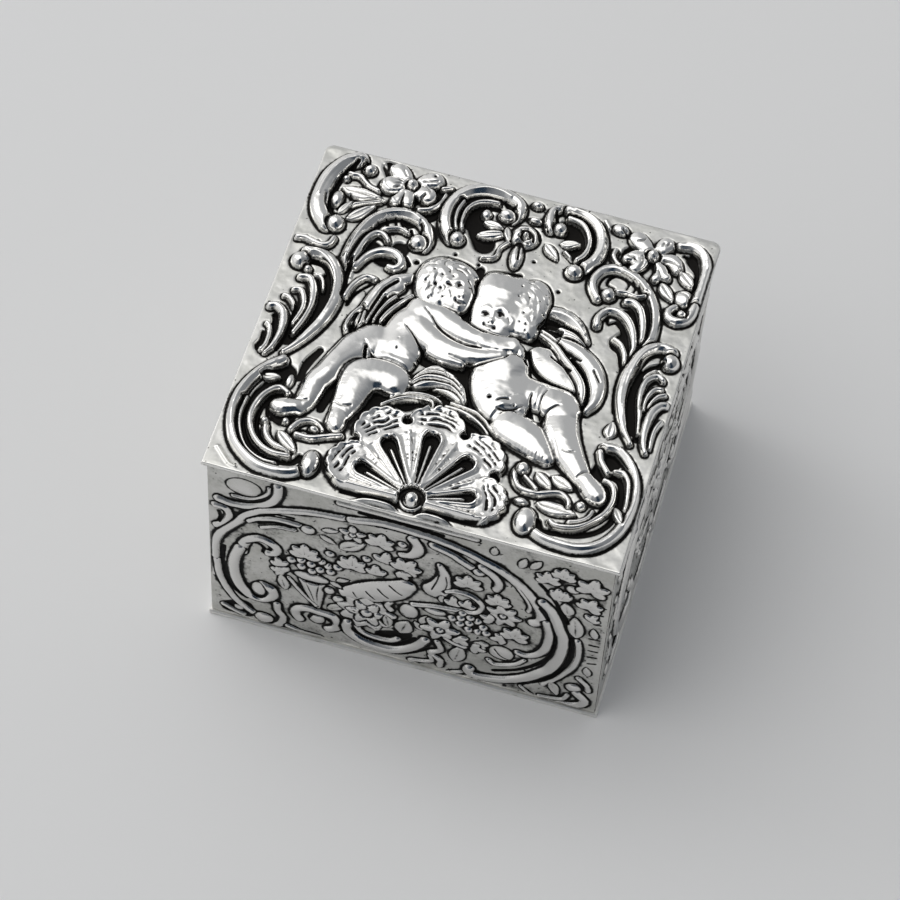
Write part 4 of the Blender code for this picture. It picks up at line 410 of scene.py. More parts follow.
LID_FIGURES = """
# the left child's wing
pool .7 .25 47.4,72.6 50,74.2 53,74.9 56,75.3
pool .6 .2 32.6,70.6 34.6,73.4 38,75 42,74.8 45.8,73.2
limb 1.4,2.3,2,1.5 .6 31.5,66 28,63.5 25.3,59.5 23.8,55 22,49.5
limb 1.5,1.7,1.3 .5 29.5,62.5 27,58.5 25.8,54 24.8,50
join .6,1
cut .5 .3 28.6,63.2 26.4,60 25.4,56.5 24.2,51
limb .7 .4 29.3,59 28,57 27.2,54.5 26.5,51.5 26.2,48.8
limb .8 .42 33,60.5 30.5,57 28.8,54 27.7,51.3
limb .7 .4 22.3,53.5 20.8,50.5 20.3,47.5 21.3,45.2
limb .6 .38 23.6,52.5 23.6,49 23.3,46.5
join .5,1
cut .5 .35 22.1,51.5 21.9,48 22.4,46 / 27,58 26,54 25.5,51 25.3,48.5
cut .6 .38 31,59.5 28.7,56 27.3,52.5 26.9,50
cut 1 .45 33.5,59 31.3,55.3 29.8,52 29.2,50
# the right child's wing
pool 1.6 .3 62.5,57.5 66,57 69,55
firm .6
limb 2.4,4.2,3.6,2 .33 66.4,53.6 70,51.6 74,49.4 78,47.2
firm 0
join .5,1
limb 1.7,2.1,1.8,1 .6 64.5,66.6 69,66.3 73,64.4 76.3,60.6
join .5,1
edge .6 .1 65,65.6 69,65.7 72.5,64.4 75.3,61.6
pool .8 .3 66,68.3 68.3,68.4
cut 1 .35 66.3,63.2 70,62.9 73.4,61.6
band 1.5,1.6,1 .45 69.8,61.4 73,60.6 76.4,58.2
pool .9 .3 66,61.6 69.6,60.8
limb 1.1,2.4,2.9,2.4,1.9,1 .62 67,58.5 72.5,57.6 77,55.5 80.3,52.3 82.2,48.2 82.5,44 81.4,40.8
join .5,1
cut .8 .4 74.6,53.9 77.6,51 79.6,47.2 80.5,43.4 80.3,41.6
cut .35 .25 73.4,55.4 76.6,54
cut .3 .2 80.4,51.7 82.4,49
cut .3 .15 70.5,57.4 72.4,55.9 74.2,55.2
limb .7,1.1,1.2,.9 .56 65.4,59 69.4,56.8 72.6,53.7 75.8,50.7 78.3,47.7 79.4,44.2 79,41.8
join .5,.8
cut .35 .25 69.6,53.4 72.4,51.9 75,50.7
cut .6 .3 64,53.4 64.9,51 66.4,48.9 68.6,47.2 72,45.9 77,44.9
band .5 .38 64.4,60.6 67.6,59.4 69.4,58.4
# hollows between the children and between the legs
pool 1.2,1,1.5,2.8 .3 46.4,74 46.8,69 47.6,63.5 47.8,59
pool 1.4,.9 .3 44.6,60.2 47.4,58.8 50.4,58
pool 1.3,1.6,1 .25 22.4,30.5 21.8,26.5 21.6,22.6
pool .9,1.2,.8 .2 16.6,39 14.8,34.5 14.2,29.5
# the cloth, and its ends over the shell
firm .5
limb 1.8,2.9,3.1,2.6,1.4 .46 41.2,36.4 43.6,38.6 46.8,38.9 50,37.4 52.6,34.8
limb .9,1.3,.8 .4 42.6,40.8 44.8,41.3 47,40.7
firm 0
join .5,1
cut .2,.34,.2 .3 41,39.3 43.4,40.7 46.2,41 48.8,40.3 / 40.2,37.3 42.4,39.1 45.6,39.8 49,39.4
  51.4,37.8 / 40.2,35.4 42.6,37.4 46,38 49.4,37.8 52.4,36
cut .15,.26,.15 .24 42.4,34.6 45.4,36.2 48.6,36.5 51.4,35.6 53.4,33.6
edge .2,.3,.2 .1 40.8,38.4 43.2,40 46.2,40.5 49.4,39.8 51.2,38.6 / 40.4,36.4 42.6,38.3 45.8,39
  49.2,38.6 51.8,37 / 41.2,35 44,36.9 47,37.3 50,37.1 52.6,35
edge .2,.28,.2 .08 42.6,41.6 44.6,42.2 46.6,41.6
band .5,.75,.4 .5 35,27.5 38,30 41,31.5 44,32.3 46.3,32 46.8,30.6
band .4,.6,.35 .42 36.4,30.6 39.4,32.4 43,33.3 46.4,33.4 48.4,32.6
band .5,.75,.4 .5 49.6,31.7 53,31.5 56,30.5 58.7,29.2 61.2,27.2
band .4,.6,.4 .44 50.4,33.2 54,32.7 57.6,31.9 60,30.2 62,28
# the right child: trunk and legs, then creases
climb .9,1,.9,.84,.8,.76
limb 4.6,6.2,7.1,6.7,5.8,4.9 .88 58.8,50.5 59.4,47.4 59.5,43.6 60.4,39.8 61.8,36.9 63.4,36.6
lobe 5.6,5.6,4.6,7,0,2.2,0 .96 59.7,48.2
limb 4.4 .58 63,42.4 71,41.4
limb 4.6,4.8,4.4 .74 73.6,40.7 75,40.4 76.2,39.4
firm .25
climb .8,.96,1,.95,.85,.7
limb 4.2,4.6,4.5,4,3.2,2.6 .92 76.6,36.6 77.2,33.4 78.2,31 80.2,28 82.8,24.9 85.2,22.2
firm 0
limb 2.6,3,2.4 .74 86.7,21 88.9,19 90,18
join .8,1
firm .25
climb .9,1,.9,.7
limb 4.6,4.8,3.7,2.1 .9 65.3,30.9 69.5,29.4 73.1,27 76.1,24.7
firm 0
join .6,.2
bump 1.8,1.4,0 .1 62.4,35.4
cut .24 .16 60.8,36.2 62,37 63.4,37.4
cut .22 .12 61.2,34.2 63.4,34.3 65.4,35.4 66.9,36.9
pit .3 .12 65,36.1
cut .3,.6,.3 .4 69.8,35 69,36.2 68.6,37.4
cut .2,.28,.15 .14 71.6,35.4 70.8,38 70.7,40.6 71.4,43
cut .2,.3,.12 .14 72,34.8 72.8,37 74.5,38.8 75.6,39.2
cut .15,.3,.3 .18 68.2,41 68.1,39.4 68.7,37.4
edge .4,.6,.4 .08 69.4,43.2 69.2,40.8 69.3,38.4
cut .25 .1 84.2,21 85.4,22.6 87.2,23.8
cut .25 .08 79,26.9 80.6,26.6 82,27.1
pit .5 .3 58.8,36.8
pool .7,.4 .3 62.8,51.5 64.6,49
# its head, then curls and a face
firm .6
lobe 4.4,5.6,8.6,9.4,-6,2.3,0 .76 60,66
lobe 3,3,3,3,0,2,0 .72 57,71
firm 0
lobe 2.6,2.6,3,3.2,0,2,0 .58 62.3,59.6
limb .9,.6,.3 .55 60.8,73.4 62.6,72.6 63.7,71.6
firm .45
lobe 4.9,6.7,6.6,13.6,0,3.4,.4 1 52.1,67.2
lobe 4.3,5.6,5,7.6,0,2.6,.22 .8 54.2,61.6
firm 0
join .6,1
bump 1,.8,0 .07 58,68.6
bump .9,1,0 .08 59.2,66.6
bump .8,.8,30 .07 58.2,65.2
bump .9,.7,0 .06 58.2,73
bump .8,1,20 .06 60.2,71.4
bump .8,1,0 .05 61.4,68.6
bump .8,1,-20 .06 62.8,66
bump .7,.9,0 .06 60.9,64.4 62.6,62.6
bump .7,.8,0 .06 61,61.2 63.6,60
bump .7,1,0 .05 64,69
edge .4,.5,.2 .03 57.2,71.2 59.4,72.4 61.6,72.3 63.3,71.2
edge .3,.4,.2 .03 61,70.8 62.6,70.2 64.2,68 / 60.4,69.2 62.2,67.8 63.6,64.8 / 61.4,66.2 62,64.2
  61.9,62 / 63.2,65 63.7,62.8 63.4,60.8
cut .14,.2,.1 .07 58,71.8 60,71.9 61.6,71 63.2,69.6
cut .14,.22,.12 .07 59.9,70.2 61.2,68.9 62.4,66.8 62.8,64.4 / 59.4,68.8 60.3,67.2 60.6,65.2
cut .14,.2,.1 .07 62,63.9 61.8,62.2 62.4,60.8
cut .14,.2,.1 .06 64.4,67 64.6,64.6 64.2,62
pit .32 .1 57.7,70.3
pit .26 .1 59.8,60.2
pit .32 .12 61.4,59.9
pit .28 .1 61.7,58.2
pit .34 .12 64.7,64.3
pit .28 .1 64.7,67.4
pit .26 .08 63.8,69.8
pit .3 .1 60.1,62.8
pit .24 .08 63,67.2
pit .26 .1 57.7,67
pit .22 .08 60.4,67.6
# eyes, nose, cheeks and mouth
bump 1.3,1.2,0 -.05 51.5,59.6
bump 1.4,1.4,0 -.06 55,60.3
edge .35,.45,.3 .04 50,60.8 51.2,61.6 52.5,61.1 / 53.8,61.6 55,62.3 56.5,61.5
cut .25,.4,.25 .1 50.7,59.9 51.5,60.1 52.3,59.7
pit .46 .1 51.5,59.5
cut .25,.45,.25 .12 54.2,60.7 55,60.9 55.9,60.4
pit .5 .12 54.9,60.2
bump .3,.3,0 .05 51.2,59.6
edge .16 .03 50.7,58.8 51.5,58.4 52.3,58.8 / 54.1,59.3 54.9,58.9 55.7,59.3
bump .5,1.8,0 .06 53.3,59.6
bump .8,.6,0 .1 53.3,58.1
bump 1.7,1.3,0 .05 51,57.8
bump 1.8,1.5,0 .06 57.2,58
pit .26 .08 52.8,57.5 53.9,57.5
cut .26,.18,.3 .1 51.9,57 53,56.6 54.6,56.6
pit .36 .1 51.8,57
pit .44 .12 54.5,56.6
bump .9,.4,0 .06 53.1,56
edge .18 .04 52.3,57.2 53.2,57 54,57.1
cut .2 .08 57,60 57.4,59.4 57.5,58.8
edge .25 .05 57.7,60.3 58.3,59.6 58,58.8
# the left child: trunk, leg and arms, then the other leg and creases
climb 1.15,1.1,1,.95,.8
limb 4.6,5.3,5.4,5.5,5.3 .72 37.2,56 34.9,51.6 34.4,47.6 34.4,44 34.2,42
climb .72,.82,.92,1.02,1,.9,.8,.7,.6
limb 4.8,4.3,3.7,3.5,3.3,3.1,2.9,2.6,2 .78 28,45.5 24.8,42.5 22.8,39.2 21.5,36.2 20.2,32.7 18.6,29.7
  18.1,26.3 17.6,23.2 16.9,21
limb 2.2,2.5,2 .6 15.6,20.9 13.2,20.2 11.9,20
limb 1.2,1.6,1.2 .56 41.5,45.8 45.5,45 49.6,44.7
firm .5
climb .95,1,1,.98,.96,.94,.9
limb 3.7,3.7,3.4,2.8,2.6,2.4,2 .8 35.6,53.2 39,50.8 42.6,48.7 47,47.7 51,47.5 54.6,48.3 57.8,49.6
climb .98,1,1,.97,.95
limb 4,3.9,3.6,3,2.6 .9 36.6,57 39.8,56.7 43.9,54.9 48.4,53 52.6,52.2
firm .9
climb 1,1,.96
limb 2.5,2.4,2.3 .85 53.6,52.1 56.4,52.2 59.8,52.9
firm .5
limb 2.1,1.7,1.1 .76 60.2,53.2 61.7,52.4 62.6,51.2
limb 1.6,1.8 .7 58.4,51 60.3,51.6
firm 0
join .45,1
bump 2.8,2.4,0 .06 33.2,45
pool .4,.25 .3 27.2,40 26.8,42.4
firm .4
climb .88,.95,1.02,.98,.86,.76,.62
limb 4.3,4.5,4.9,4.4,3.8,3.2,2.6 .86 35.8,35.2 32.8,35.7 28.6,34.2 27.6,30.2 27.3,26.8 26.8,24 26.5,21.8
firm 0
limb 2.3,2.6,2.1 .62 26,21 26.3,19.6 26.6,18.6
join .6,.3
cut .1,.26,.2 .18 26.2,43.6 28,41.4 30.3,39.6
bump 2,1.2,0 -.08 34.6,41.9
pit .3 .16 34.1,43.6
pit .2 .08 33.8,46.3
pit .35 .2 39.6,42.9 39.2,41.5
cut .25 .1 24.6,24.4 26.4,23.6 28.6,24.3 / 15.6,22.6 17,22.4 18.3,23
cut .2,.24,.24,.16,.1 .12 37.5,56.4 39.9,54.4 41.4,52.9 43.4,51.6 46.4,50.2 48.4,49.6 50.4,49.5
  53.4,49.9
cut .35 .06 50,49.6 52,49.8
cut .12,.26,.34 .18 34.2,50.6 36.4,48.8 38.4,46.9 40.3,45
cut .12,.2 .06 46.4,45.6 49.4,45.1 52.3,45.5
bump .8,.6,0 -.04 48.6,52.2
cut .22 .1 59.8,56 61.2,55 62.4,53.6
# its head, then curls and a face
firm .3
lobe 7.3,7.8,7,8.4,0,2.8,.36 .9 39.2,67.4
lobe 4,4,4.6,5.5,0,2.6,.25 .84 43.6,64.4
firm 0
limb 1.6,1.2,.4 .62 43.2,71.7 45.2,71.3 46.8,70.2
join .6,1
bump 1.3,1.1,20 .07 35,68.8
bump 1.2,1.3,0 .08 34.4,66
bump 1.1,1.2,0 .08 36.3,66.7
bump 1.2,1.1,0 .07 35.3,63.4
bump 1,1.1,0 .07 37,62
bump .9,1,0 .07 38.3,66
bump 1,.9,0 .07 38.7,62.9
bump 1.1,1,0 .08 38,69
bump 1,.9,0 .07 40.2,66.2
bump 1.2,.9,0 .08 40,70.6
bump 1.3,.9,-20 .07 42.6,71.6
bump 1.1,.9,-20 .07 42,68.6
bump 1.1,.9,0 .07 37,71.6
bump .9,.8,0 .06 40.8,63.6
bump 1,.8,-30 .06 44.6,69.6
bump .9,.8,0 .05 39.4,60.9
pit .5 .14 37.5,64.7
pit .38 .12 39.1,63.9
cut .3,.4,.25 .14 40.3,65.4 41,65.3 41.6,65
pit .34 .12 38.6,67.4
pit .3 .1 41.2,67.7 36.4,68.4
pit .26 .1 35.1,65
pit .28 .1 37,60.8
pit .24 .08 39.9,68.6 36.8,64
pit .26 .08 40.2,61.9
cut .2,.28,.1 .08 36.4,70.1 34.8,69.9 33.6,68.4
cut .18,.26,.1 .08 35.6,67.6 35.6,66 34.6,64.6 / 37.5,67.6 37.2,66 37.6,64.8 / 36.2,65 36.4,63.4 35.7,62
cut .18,.24,.1 .07 38,64.6 37.7,63.2 38,61.8
cut .18,.26,.1 .08 39.2,69.9 40,69.4 40.4,68
cut .2,.28,.1 .1 41,70 42.8,69.9 44.2,68.9
cut .2,.3,.1 .1 41.4,71.3 43.6,70.9 45.4,69.6
cut .18,.26,.1 .08 38.4,70.3 38,71.6 38.8,72.8 / 35.6,70.6 36,72 37.2,73
cut .16,.24,.1 .07 40.6,72.3 42.2,73 44,72.4
cut .18,.24,.1 .07 39.6,64.8 40.2,64.4 40,63
cut .26,.34,.2 .14 44.9,68 46,66.8 46.7,65.2
# eyes, nose, cheeks and mouth
edge .3,.4,.2 .05 42.2,66.5 43.4,67.1 44.4,66.6
edge .22 .04 45.3,66.9 46.2,66.9
bump 1,.9,0 -.05 43.3,65.4
cut .25,.4,.25 .1 42.6,65.8 43.3,66 44,65.7
pit .44 .12 43.2,65.3
pit .36 .1 45.8,65.9
bump .3,.3,0 .05 43,65.2
edge .16 .03 42.6,64.5 43.3,64.2 44,64.6
bump .45,1.5,0 .06 44.8,64.4
bump .7,.6,0 .1 45,63.2
bump 1.5,1.3,0 .06 42,62.6
pit .26 .08 44.2,62.5
cut .24,.3,.22 .12 43.4,61.6 44.4,61.2 45.8,61.4
pit .3 .08 43.4,61.7
edge .16 .03 43.9,62 44.8,61.8 45.5,61.9
bump .8,.4,0 .06 44.7,60.5
bump 1,.6,0 .05 44.8,59.6
cut .22,.3,.2 .1 41.4,63.6 42,62.9 42.3,61.9
"""

# The front wall's scrolls and its spray of fruit and flowers. Heights are per cent of the box's.
FRONT_DESIGN = """
# the frame of scrolls, from the left back over the top to the right
pool 3 .3 6,9 9,12 9,8
pool 2.4 .3 45,18 50,22 48,28
band 1.3 .62 18.2,97.5 18.1,92 16.8,87 14.3,83 11,80.5 7,79.5 3.5,80.5
band .5 .4 16,95 15.9,92 14.5,88.8 12,86 9.5,84.8 7,84.5
boss 4.3,5,0 .22 9.8,91.3
band 1.1 .6 2.6,76 5,75.5 6,72.5 5.8,69 4.8,65.5 2.8,63
cut .6 .3 3.4,72 3.9,69 3.5,66
band 1.2,1.3,1.2 .72 2.3,30 2.3,48 3,55 4.5,60.5 6.5,65 8.5,69.5 9.8,73 12,77 14,79.8 18,82.8 22,85
  26,87 30,88.2 36,89.5
band 1.3,1.3,1.6,1.6 .75 36,89.5 42,91.8 47,92.3 52,92 58,91 63,89 68,86 72,83 76,78 79,73 81.5,67
  83,62 83.2,57 81.5,54.5
cut .5 .35 40,88.7 47,89.7 52,89.4 58,88.4 63,86.2
band .9 .5 11,71.3 13.3,74 17,76.3 21,77 24.5,76.5
boss 1.8,2.6,0 .6 25.5,75.3
cut .4 .3 10.5,73.2 13,76.5 17,79.3 22,79.9 / 13.3,70.8 17.5,73.8 22.5,74.2
band .5 .4 14,68.9 18,71.9 22.3,72.7
band .9 .35 33,97.3 45,97.5 56,97.6 66,97.5
cut .6 .35 38,94.6 47,95.2 58,94.4
band 1.2 .6 56,86.8 60,84.7 63.5,81.5 66.5,78.3
boss 1.6,2.3,0 .65 67.3,77.7
band 1.3,1.2,1.1 .6 68,81.5 71,77.5 72.3,73 71.8,69.5
cut .35 .25 69.3,77.6 70.7,74.5 70.8,71
band .6 .4 77,74 79,69 80.3,64 80,61
band 1.4,1.8,1.7,1.5 .85 83,69.5 85,66 86.5,61 87.8,55 88.8,50 89.2,45 88.8,38 88,32 86.5,26 84,21
  81,16 77,11.8 73,9.4 69,8.4 66.7,10 67,12
edge .35 .12 84,69 86,64 87.8,58 89.4,50 90,44 89.7,37 88.8,31 87.2,25
cut .35 .2 82.5,66 84.3,61 85.7,55 86.6,49
band .9 .6 92.5,50 93,45 93,38 92,31 90,25 88,20 85.5,15
cut .7 .4 91,50 91.2,40 90,30 87.7,22 85.2,17 82.3,13 80,10.3
cut .6 .35 87,50.8 87.2,44 86.7,36 84.8,30 82,24.2 78,18.5 73,14.5
band 1.2,1.3,1 .6 84.5,57 85.5,50 85.5,44 84.8,38 83,33.5 80.5,31.3 78.5,31.8
# the frame's left side and foot
band 1.5,1.4,1.2 .7 9,50 9.5,55 11,59 13.5,61.5 16,60.5 17.8,57.5 17.3,54 15.5,53.2
cut .6 .35 10.6,57 12.8,57.5 14.5,55.5 14.3,52.6
band 1.5,1.7,1.7,1.5 .8 8.6,52 7.3,45 6.9,38 7.5,31 8.9,25.5 11.5,21.8 14.5,21.7 16.7,25 16.3,29.5
  14,30.7
boss 2,4.6,0 .55 13.2,27
cut .6 .4 4.5,50 4.1,40 4.8,30 6,25 8.2,20.5 10,19
band 1 .5 2.6,40 3.2,30 4.8,22.5 7.3,16 10.3,11.3 13.5,8.5
boss 2.5,3.2,0 .7 14.5,8.3
band 1.1 .55 17.8,20 18,16 19.3,12.5 19,8 17.5,4.8
band .8 .35 4,10 6.5,8 9,6.5
boss 1.3,1.6,0 .3 8,10.5
band 1.4,1.5,1.3 .65 23.5,14.5 22.5,18 23.5,21.5 26,23 29,22.5 32,22 33.3,18 32.8,14.5 31,12.5
boss 2,3.2,0 .4 28,17.4
cut .5 .3 26,17 27,19.8 29.4,20.2 31,18
band 1.5,1.6,1.4 .8 36,21 35.5,17 37,13.5 40,10.9 44,9.9 48,10.9 51.5,14.2 54,18.5 55.5,23
cut .5 .35 38,17 40,13.9 44,12.9 48,14.4 51,18.2 53,22
band .9 .45 38,21 39,17.7 41,16 44,15.3 47,16.3 48.5,18.3
cut .5 .35 34,17.5 35,13 38,9.3 43,7.5 49,8.4 53,12 56.5,17.5
# the spray: a bag of fruit, berries, leaves, a pear, a melon and flowers
sprig 3.2,150,4,150 .5 19.6,43.5
sprig 3,110,3,120 .5 18.8,47.5
leaf 3.4,1.4,100 .4 19.4,36.5
limb 3.6,2.4,.8 .7 26.6,43.5 27.3,35 28.1,26
join .4,1
cut .3 .15 24.8,43.5 26.6,35 27.8,27 / 28.6,43 28.1,35 28.3,28
edge .3 .15 21.3,38.5 24,31 27.6,25.6
band .5 .4 20.8,40.5 24,33 27.8,26.3
boss 4.4,2.8,0 .6 26.5,44.6
boss 1.4,2.3,0 .5 31,39
boss 1.6,2.4,30 .5 33.5,34.5
leaf 3,1.3,40 .4 33,29
boss 1.3,1.9,0 .7 21.5,53
boss 1.3,1.9,0 .75 24,54.7
boss 1.3,1.9,0 .7 26.4,53.5 24,50.3 28.7,51.3 30.7,55.3
boss 1.3,1.9,0 .65 33,56
boss 1.2,1.8,0 .6 29,57 26.6,49 31.2,51.5
sprig 4.4,92,5,170 .55 24.9,57.8
sprig 4.4,88,5,160 .55 36.6,58.6
sprig 3.4,95,3,110 .5 42.6,58.6
boss 1.2,1.7,0 .55 31,63.5
boss 1.1,1.6,0 .5 40,66.5
sprig 3.6,80,3,130 .5 44.4,68.2
leaf 4,2,40 .6 36.5,72.5
flower 3,20,5,.9 .45 36.5,80
leaf 2.2,.9,20 .35 31,78.5
leaf 2.2,.9,-30 .35 30.4,72.3
sprig 4,80,5,190 .5 43,78.4
band 1.4,1.6,1 .6 51,87 52.3,83.5 52.2,80 51,77 48.5,75.5
boss 1.1,1.7,0 .5 48.5,82
sprig 4.2,60,5,200 .55 49.4,67
sprig 3,-60,3,90 .5 48.6,64.4
limb .7,1.6,2.6,3.2 .8 57.8,75.5 59,70.5 58.8,65.5 58.2,61.5 57.2,58.5
join .4,1
cut .3 .18 56.4,60 57.4,65 58,70 / 59.4,60 60,65 59.6,70
band .8 .55 60,60 62,61.5 65,61.5 67.5,59.5 68.8,56 68,52 66,50.2 62,49.3 57,47.9 54,46.3 52,45.3
leaf 2,.8,90 .45 58.8,54.3
sprig 3.2,95,3,110 .5 62,52
sprig 2.8,80,3,120 .5 65,53
limb 2.2,3.6,4.3,3.8,2.6 1 35.5,41.2 39,43.8 43.5,47.6 47.3,51.6 50,56
join .6,1
cut .3 .18 37.2,44.4 38.3,41.2 / 40.4,47.4 42.6,43.4 / 43.3,51 46,46.8 / 46,54.7 49.4,51
flower 6.6,12,9,2.4 .6 40.6,31
flower 4.6,0,6,1.7 .75 40.6,31.2
pit .5 .3 40.8,34.9 37.6,31.3 42.5,30.8
pit .4 .25 41.2,25.2 43.2,22.6
leaf 2.7,1.4,100 .45 45.8,29.5
leaf 3.3,2.3,75 .5 50,28
boss 2.4,4.6,0 .62 51,39.6
edge .3 .15 50.4,43 50,39.5 50.6,36.5
boss 2.8,2,0 .55 57.5,44
band .9 .5 46.3,42 45.6,39.5 46.5,37.3
leaf 2.2,1,70 .42 54.8,36.5
leaf 2,1,120 .42 53.6,31.5
flower 4.4,10,6,1.2 .62 59,33
sprig 3.2,-40,3,120 .5 63.4,30.5
boss 1.2,1.7,0 .7 61.8,43 63.9,44.6 66,42.6 63.8,40.7 66,38.5 64.3,48.2 68,45.6 69.5,42.2 68.4,38.6
boss 1.2,1.7,0 .65 66.2,46.4 70.4,38.9
sprig 4,92,5,180 .5 65,67
sprig 3.6,95,5,170 .48 72.6,60.6
flower 4,0,7,1 .5 74,53.6
sprig 3,160,3,110 .45 71.6,48.6
sprig 4,80,5,190 .52 77.2,41
sprig 3,200,3,120 .45 74.6,38
band .7,.8,.6 .5 71.5,21.5 72.8,19.6 75.5,20.8 78.5,23.8 80.3,27.5
boss 3.1,4.4,0 .5 74.5,28.2
cut .3 .2 72.8,30 74.6,27 76.2,25.2
sprig 3,-60,3,110 .45 68.6,31
leaf 4,2,80 .5 63.8,19.5
sprig 3,-10,3,120 .45 67.3,27
band .9 .5 58.5,24 59.5,19 57,15.5 59.5,12 59.5,8
band .7 .4 57,13 57.5,10 55,8 52,6.5 54,4.3
leaf 2,1,60 .35 66.5,4.8
band .7 .35 62,5 65,7.6
# leaves and hatching right of the frame
leaf 1.9,.9,85 .4 70.5,93.3
leaf 2.4,1,75 .4 77.5,90.6
leaf 2.4,1,60 .4 80.6,91.5
sprig 3.6,85,5,150 .5 87.2,88
sprig 3.4,95,5,200 .55 83.8,84
boss 1.7,2.3,0 .5 89.8,82.4
sprig 4,100,5,110 .55 87.2,74
leaf 2.7,1.8,100 .5 89,68.8
leaf 4.6,2,95 .5 91.6,58.4
cut .6 .4 82,80 85,74 87.5,67 89.6,60
sprig 4.4,80,5,230 .48 94.2,85
sprig 3.6,70,5,190 .46 94,73.5
sprig 2.6,60,3,120 .42 94.8,66
leaf 2.2,1,100 .35 96.2,57.5
leaf 2,1,100 .35 95.8,31
cut .3 .15 95.8,70 97.6,70.4 / 95.9,63.6 97.4,64 / 95.3,53.5 97.6,53.8 / 95.4,49.5 97.5,49.6 /
  95.4,45.5 97.5,46 / 95.5,41 97.5,41.8 / 95.6,36.5 97.5,37.6
boss 2,2.8,0 .6 93,17.5
band 1.4,1.4,1.2 .6 94,14.5 96,11 95.5,7.8 93,5.5 90,4.3
band .7 .4 91.8,11.5 91,8.5 88,6.8 85,6
leaf 3,1.3,-70 .4 88.3,13.8
band .8 .4 94,25 96.2,21.3 96.7,18
band .5 .3 80,9 81.5,6.8 83,5
cut .5 .3 76,6.3 76.3,4
band .8 .35 20.5,7 24,5.3 29,5 / 60.5,28 62.3,26.3 65.4,25.6
leaf 1.8,.8,30 .35 34.3,48
leaf 1.8,.8,-20 .35 32.8,44
"""

# The left half of the other walls' cartouche, which a mirror image completes, and what lies on its middle
SIDE_DESIGN = """
pool 3 .3 12,18 15,14 20,14
band 1.4,1.8,1.6 .85 33,82 23,80.5 15,73 10.5,60 9.5,46 12,32 18,21 25,17 30,20 29.5,26
boss 2.4,3.2,0 .8 33,80.5
boss 2.3,3,0 .8 28.7,26
edge .35 .12 31,84 22,82.3 14,74.5 9.4,60 8.4,46 11,31
cut .5 .35 32,77 23.5,76 17,69.5 13.3,58 12.5,46 14.7,34.5 19.5,25.5 24.5,22
band .9,1.1,.8 .6 35,73 27,71.5 20.5,64.5 16.5,54 16.5,43 20,34 25,31.5
boss 1.8,2.5,0 .7 25.5,33
band .6 .4 33,67 28,65.5 23.5,60 20.3,52.5 20.4,45
cut .35 .25 34,70 27.3,68.4 21.8,62 18.4,53.5 18.4,43.8
band 1.2,1.4,1 .65 5,85.5 12,89.5 19,87.5 21,83
boss 1.7,2.4,0 .6 6,84
leaf 3.4,1.6,60 .45 9,80
band 1.1,1.4,1 .6 5,16 10,10.3 17,9.8 20,13.5
boss 1.8,2.4,0 .6 5.8,18.5
leaf 3.2,1.5,-55 .45 9.4,22.5
band 1.2,1.5,1.2 .7 33,13 39,8.5 46,9.5 49,15
cut .5 .35 35,17 40,13.3 44.5,14 46.5,18
band 1,1.2,.8 .55 39,86.5 44,90 48.5,87.5
leaf 3.4,1.5,-20 .45 28,91
leaf 3,1.4,200 .4 21.5,92.5
band 1,1.1,.8 .5 4.5,71 7.5,63 6,54.5 / 4,46 6.5,37 5,28
leaf 2.6,1.1,85 .35 3.5,59
leaf 2.6,1.1,95 .35 3.5,36
leaf 2.8,1.2,20 .35 25,7.5
leaf 4.2,1.9,35 .6 40,58.5
leaf 4,1.8,-35 .6 41,49
leaf 3.6,1.7,75 .55 44.5,65.5
leaf 3.6,1.7,-75 .5 45,41.5
leaf 3,1.3,10 .45 34,54
leaf 2.8,1.2,60 .45 36.5,65
leaf 2.8,1.2,-60 .45 37,43
band .7,.8,.6 .45 47.5,33 42,37.5 36,38 32.5,43
boss 1.2,1.7,0 .7 33.5,47 31.5,50.3
boss 1.2,1.7,0 .65 31.8,45 29.7,47.7
boss 1.2,1.7,0 .6 29.3,52
leaf 2.2,1,40 .4 29.5,57.5
boss 1.3,1.8,0 .6 41,71.5
boss 1.1,1.6,0 .55 38.5,73.8
leaf 2.3,1,120 .4 36,72
leaf 2.6,1.1,-30 .4 39.5,29.5
leaf 2.4,1,-70 .4 42.5,24.5
boss 1.2,1.7,0 .6 36,31.5
"""
SIDE_MIDDLE = """
boss 5,7,0 .45 50,55
boss 2.6,2.4,0 .8 50,60.8
boss 2.6,2.4,60 .8 53.6,57
boss 2.6,2.4,120 .8 53.4,51.8
boss 2.6,2.4,0 .8 50,49.2
boss 2.6,2.4,60 .8 46.6,51.8
boss 2.6,2.4,120 .8 46.4,57
boss 1.7,2.4,0 1 50,55
leaf 4,1.8,90 .6 50,72 50,37
boss 2.2,3.4,0 .7 50,24.5
leaf 3,1.5,90 .6 50,83.5
boss 1.6,2.2,0 .6 50,91.5
leaf 2.6,1.3,90 .5 50,8.2
"""

# The shell at the front of the lid, in polar form about its ball: radii and lengths in per cent of the
# lid's width, turns in degrees from straight back. Each arch has its turn, its rim and its hollow's end
SHELL_CENTER = (49.3, 3.9)
SHELL_ARCHES = (
    (-72.0, 22.8, 15.8),
    (-36.0, 26.4, 17.6),
    (0.0, 26.8, 18.5),
    (37.0, 25.5, 17.8),
    (72.5, 22.0, 15.0),
)
SHELL_SEAMS = (-54.5, -18.5, 18.7, 54.5)
SHELL_HOLES = ((-54.7, 21.3), (-18.6, 21.9), (18.9, 21.9), (54.0, 20.6))
SHELL_BOTTOM = 2.2
SHELL_BALL = 2.0
ARCH_SIDE = 18.0
SCALLOP = 7.0
FLUTE_SIDE = 12.5
HOLLOW_SIDE = 6.9
HOLLOW_START = 3.6
HOLLOW_ROUND = 2.2
SPINE_WIDTH = 0.42
HATCH_START = 2.3
HATCH_PITCH = 1.35
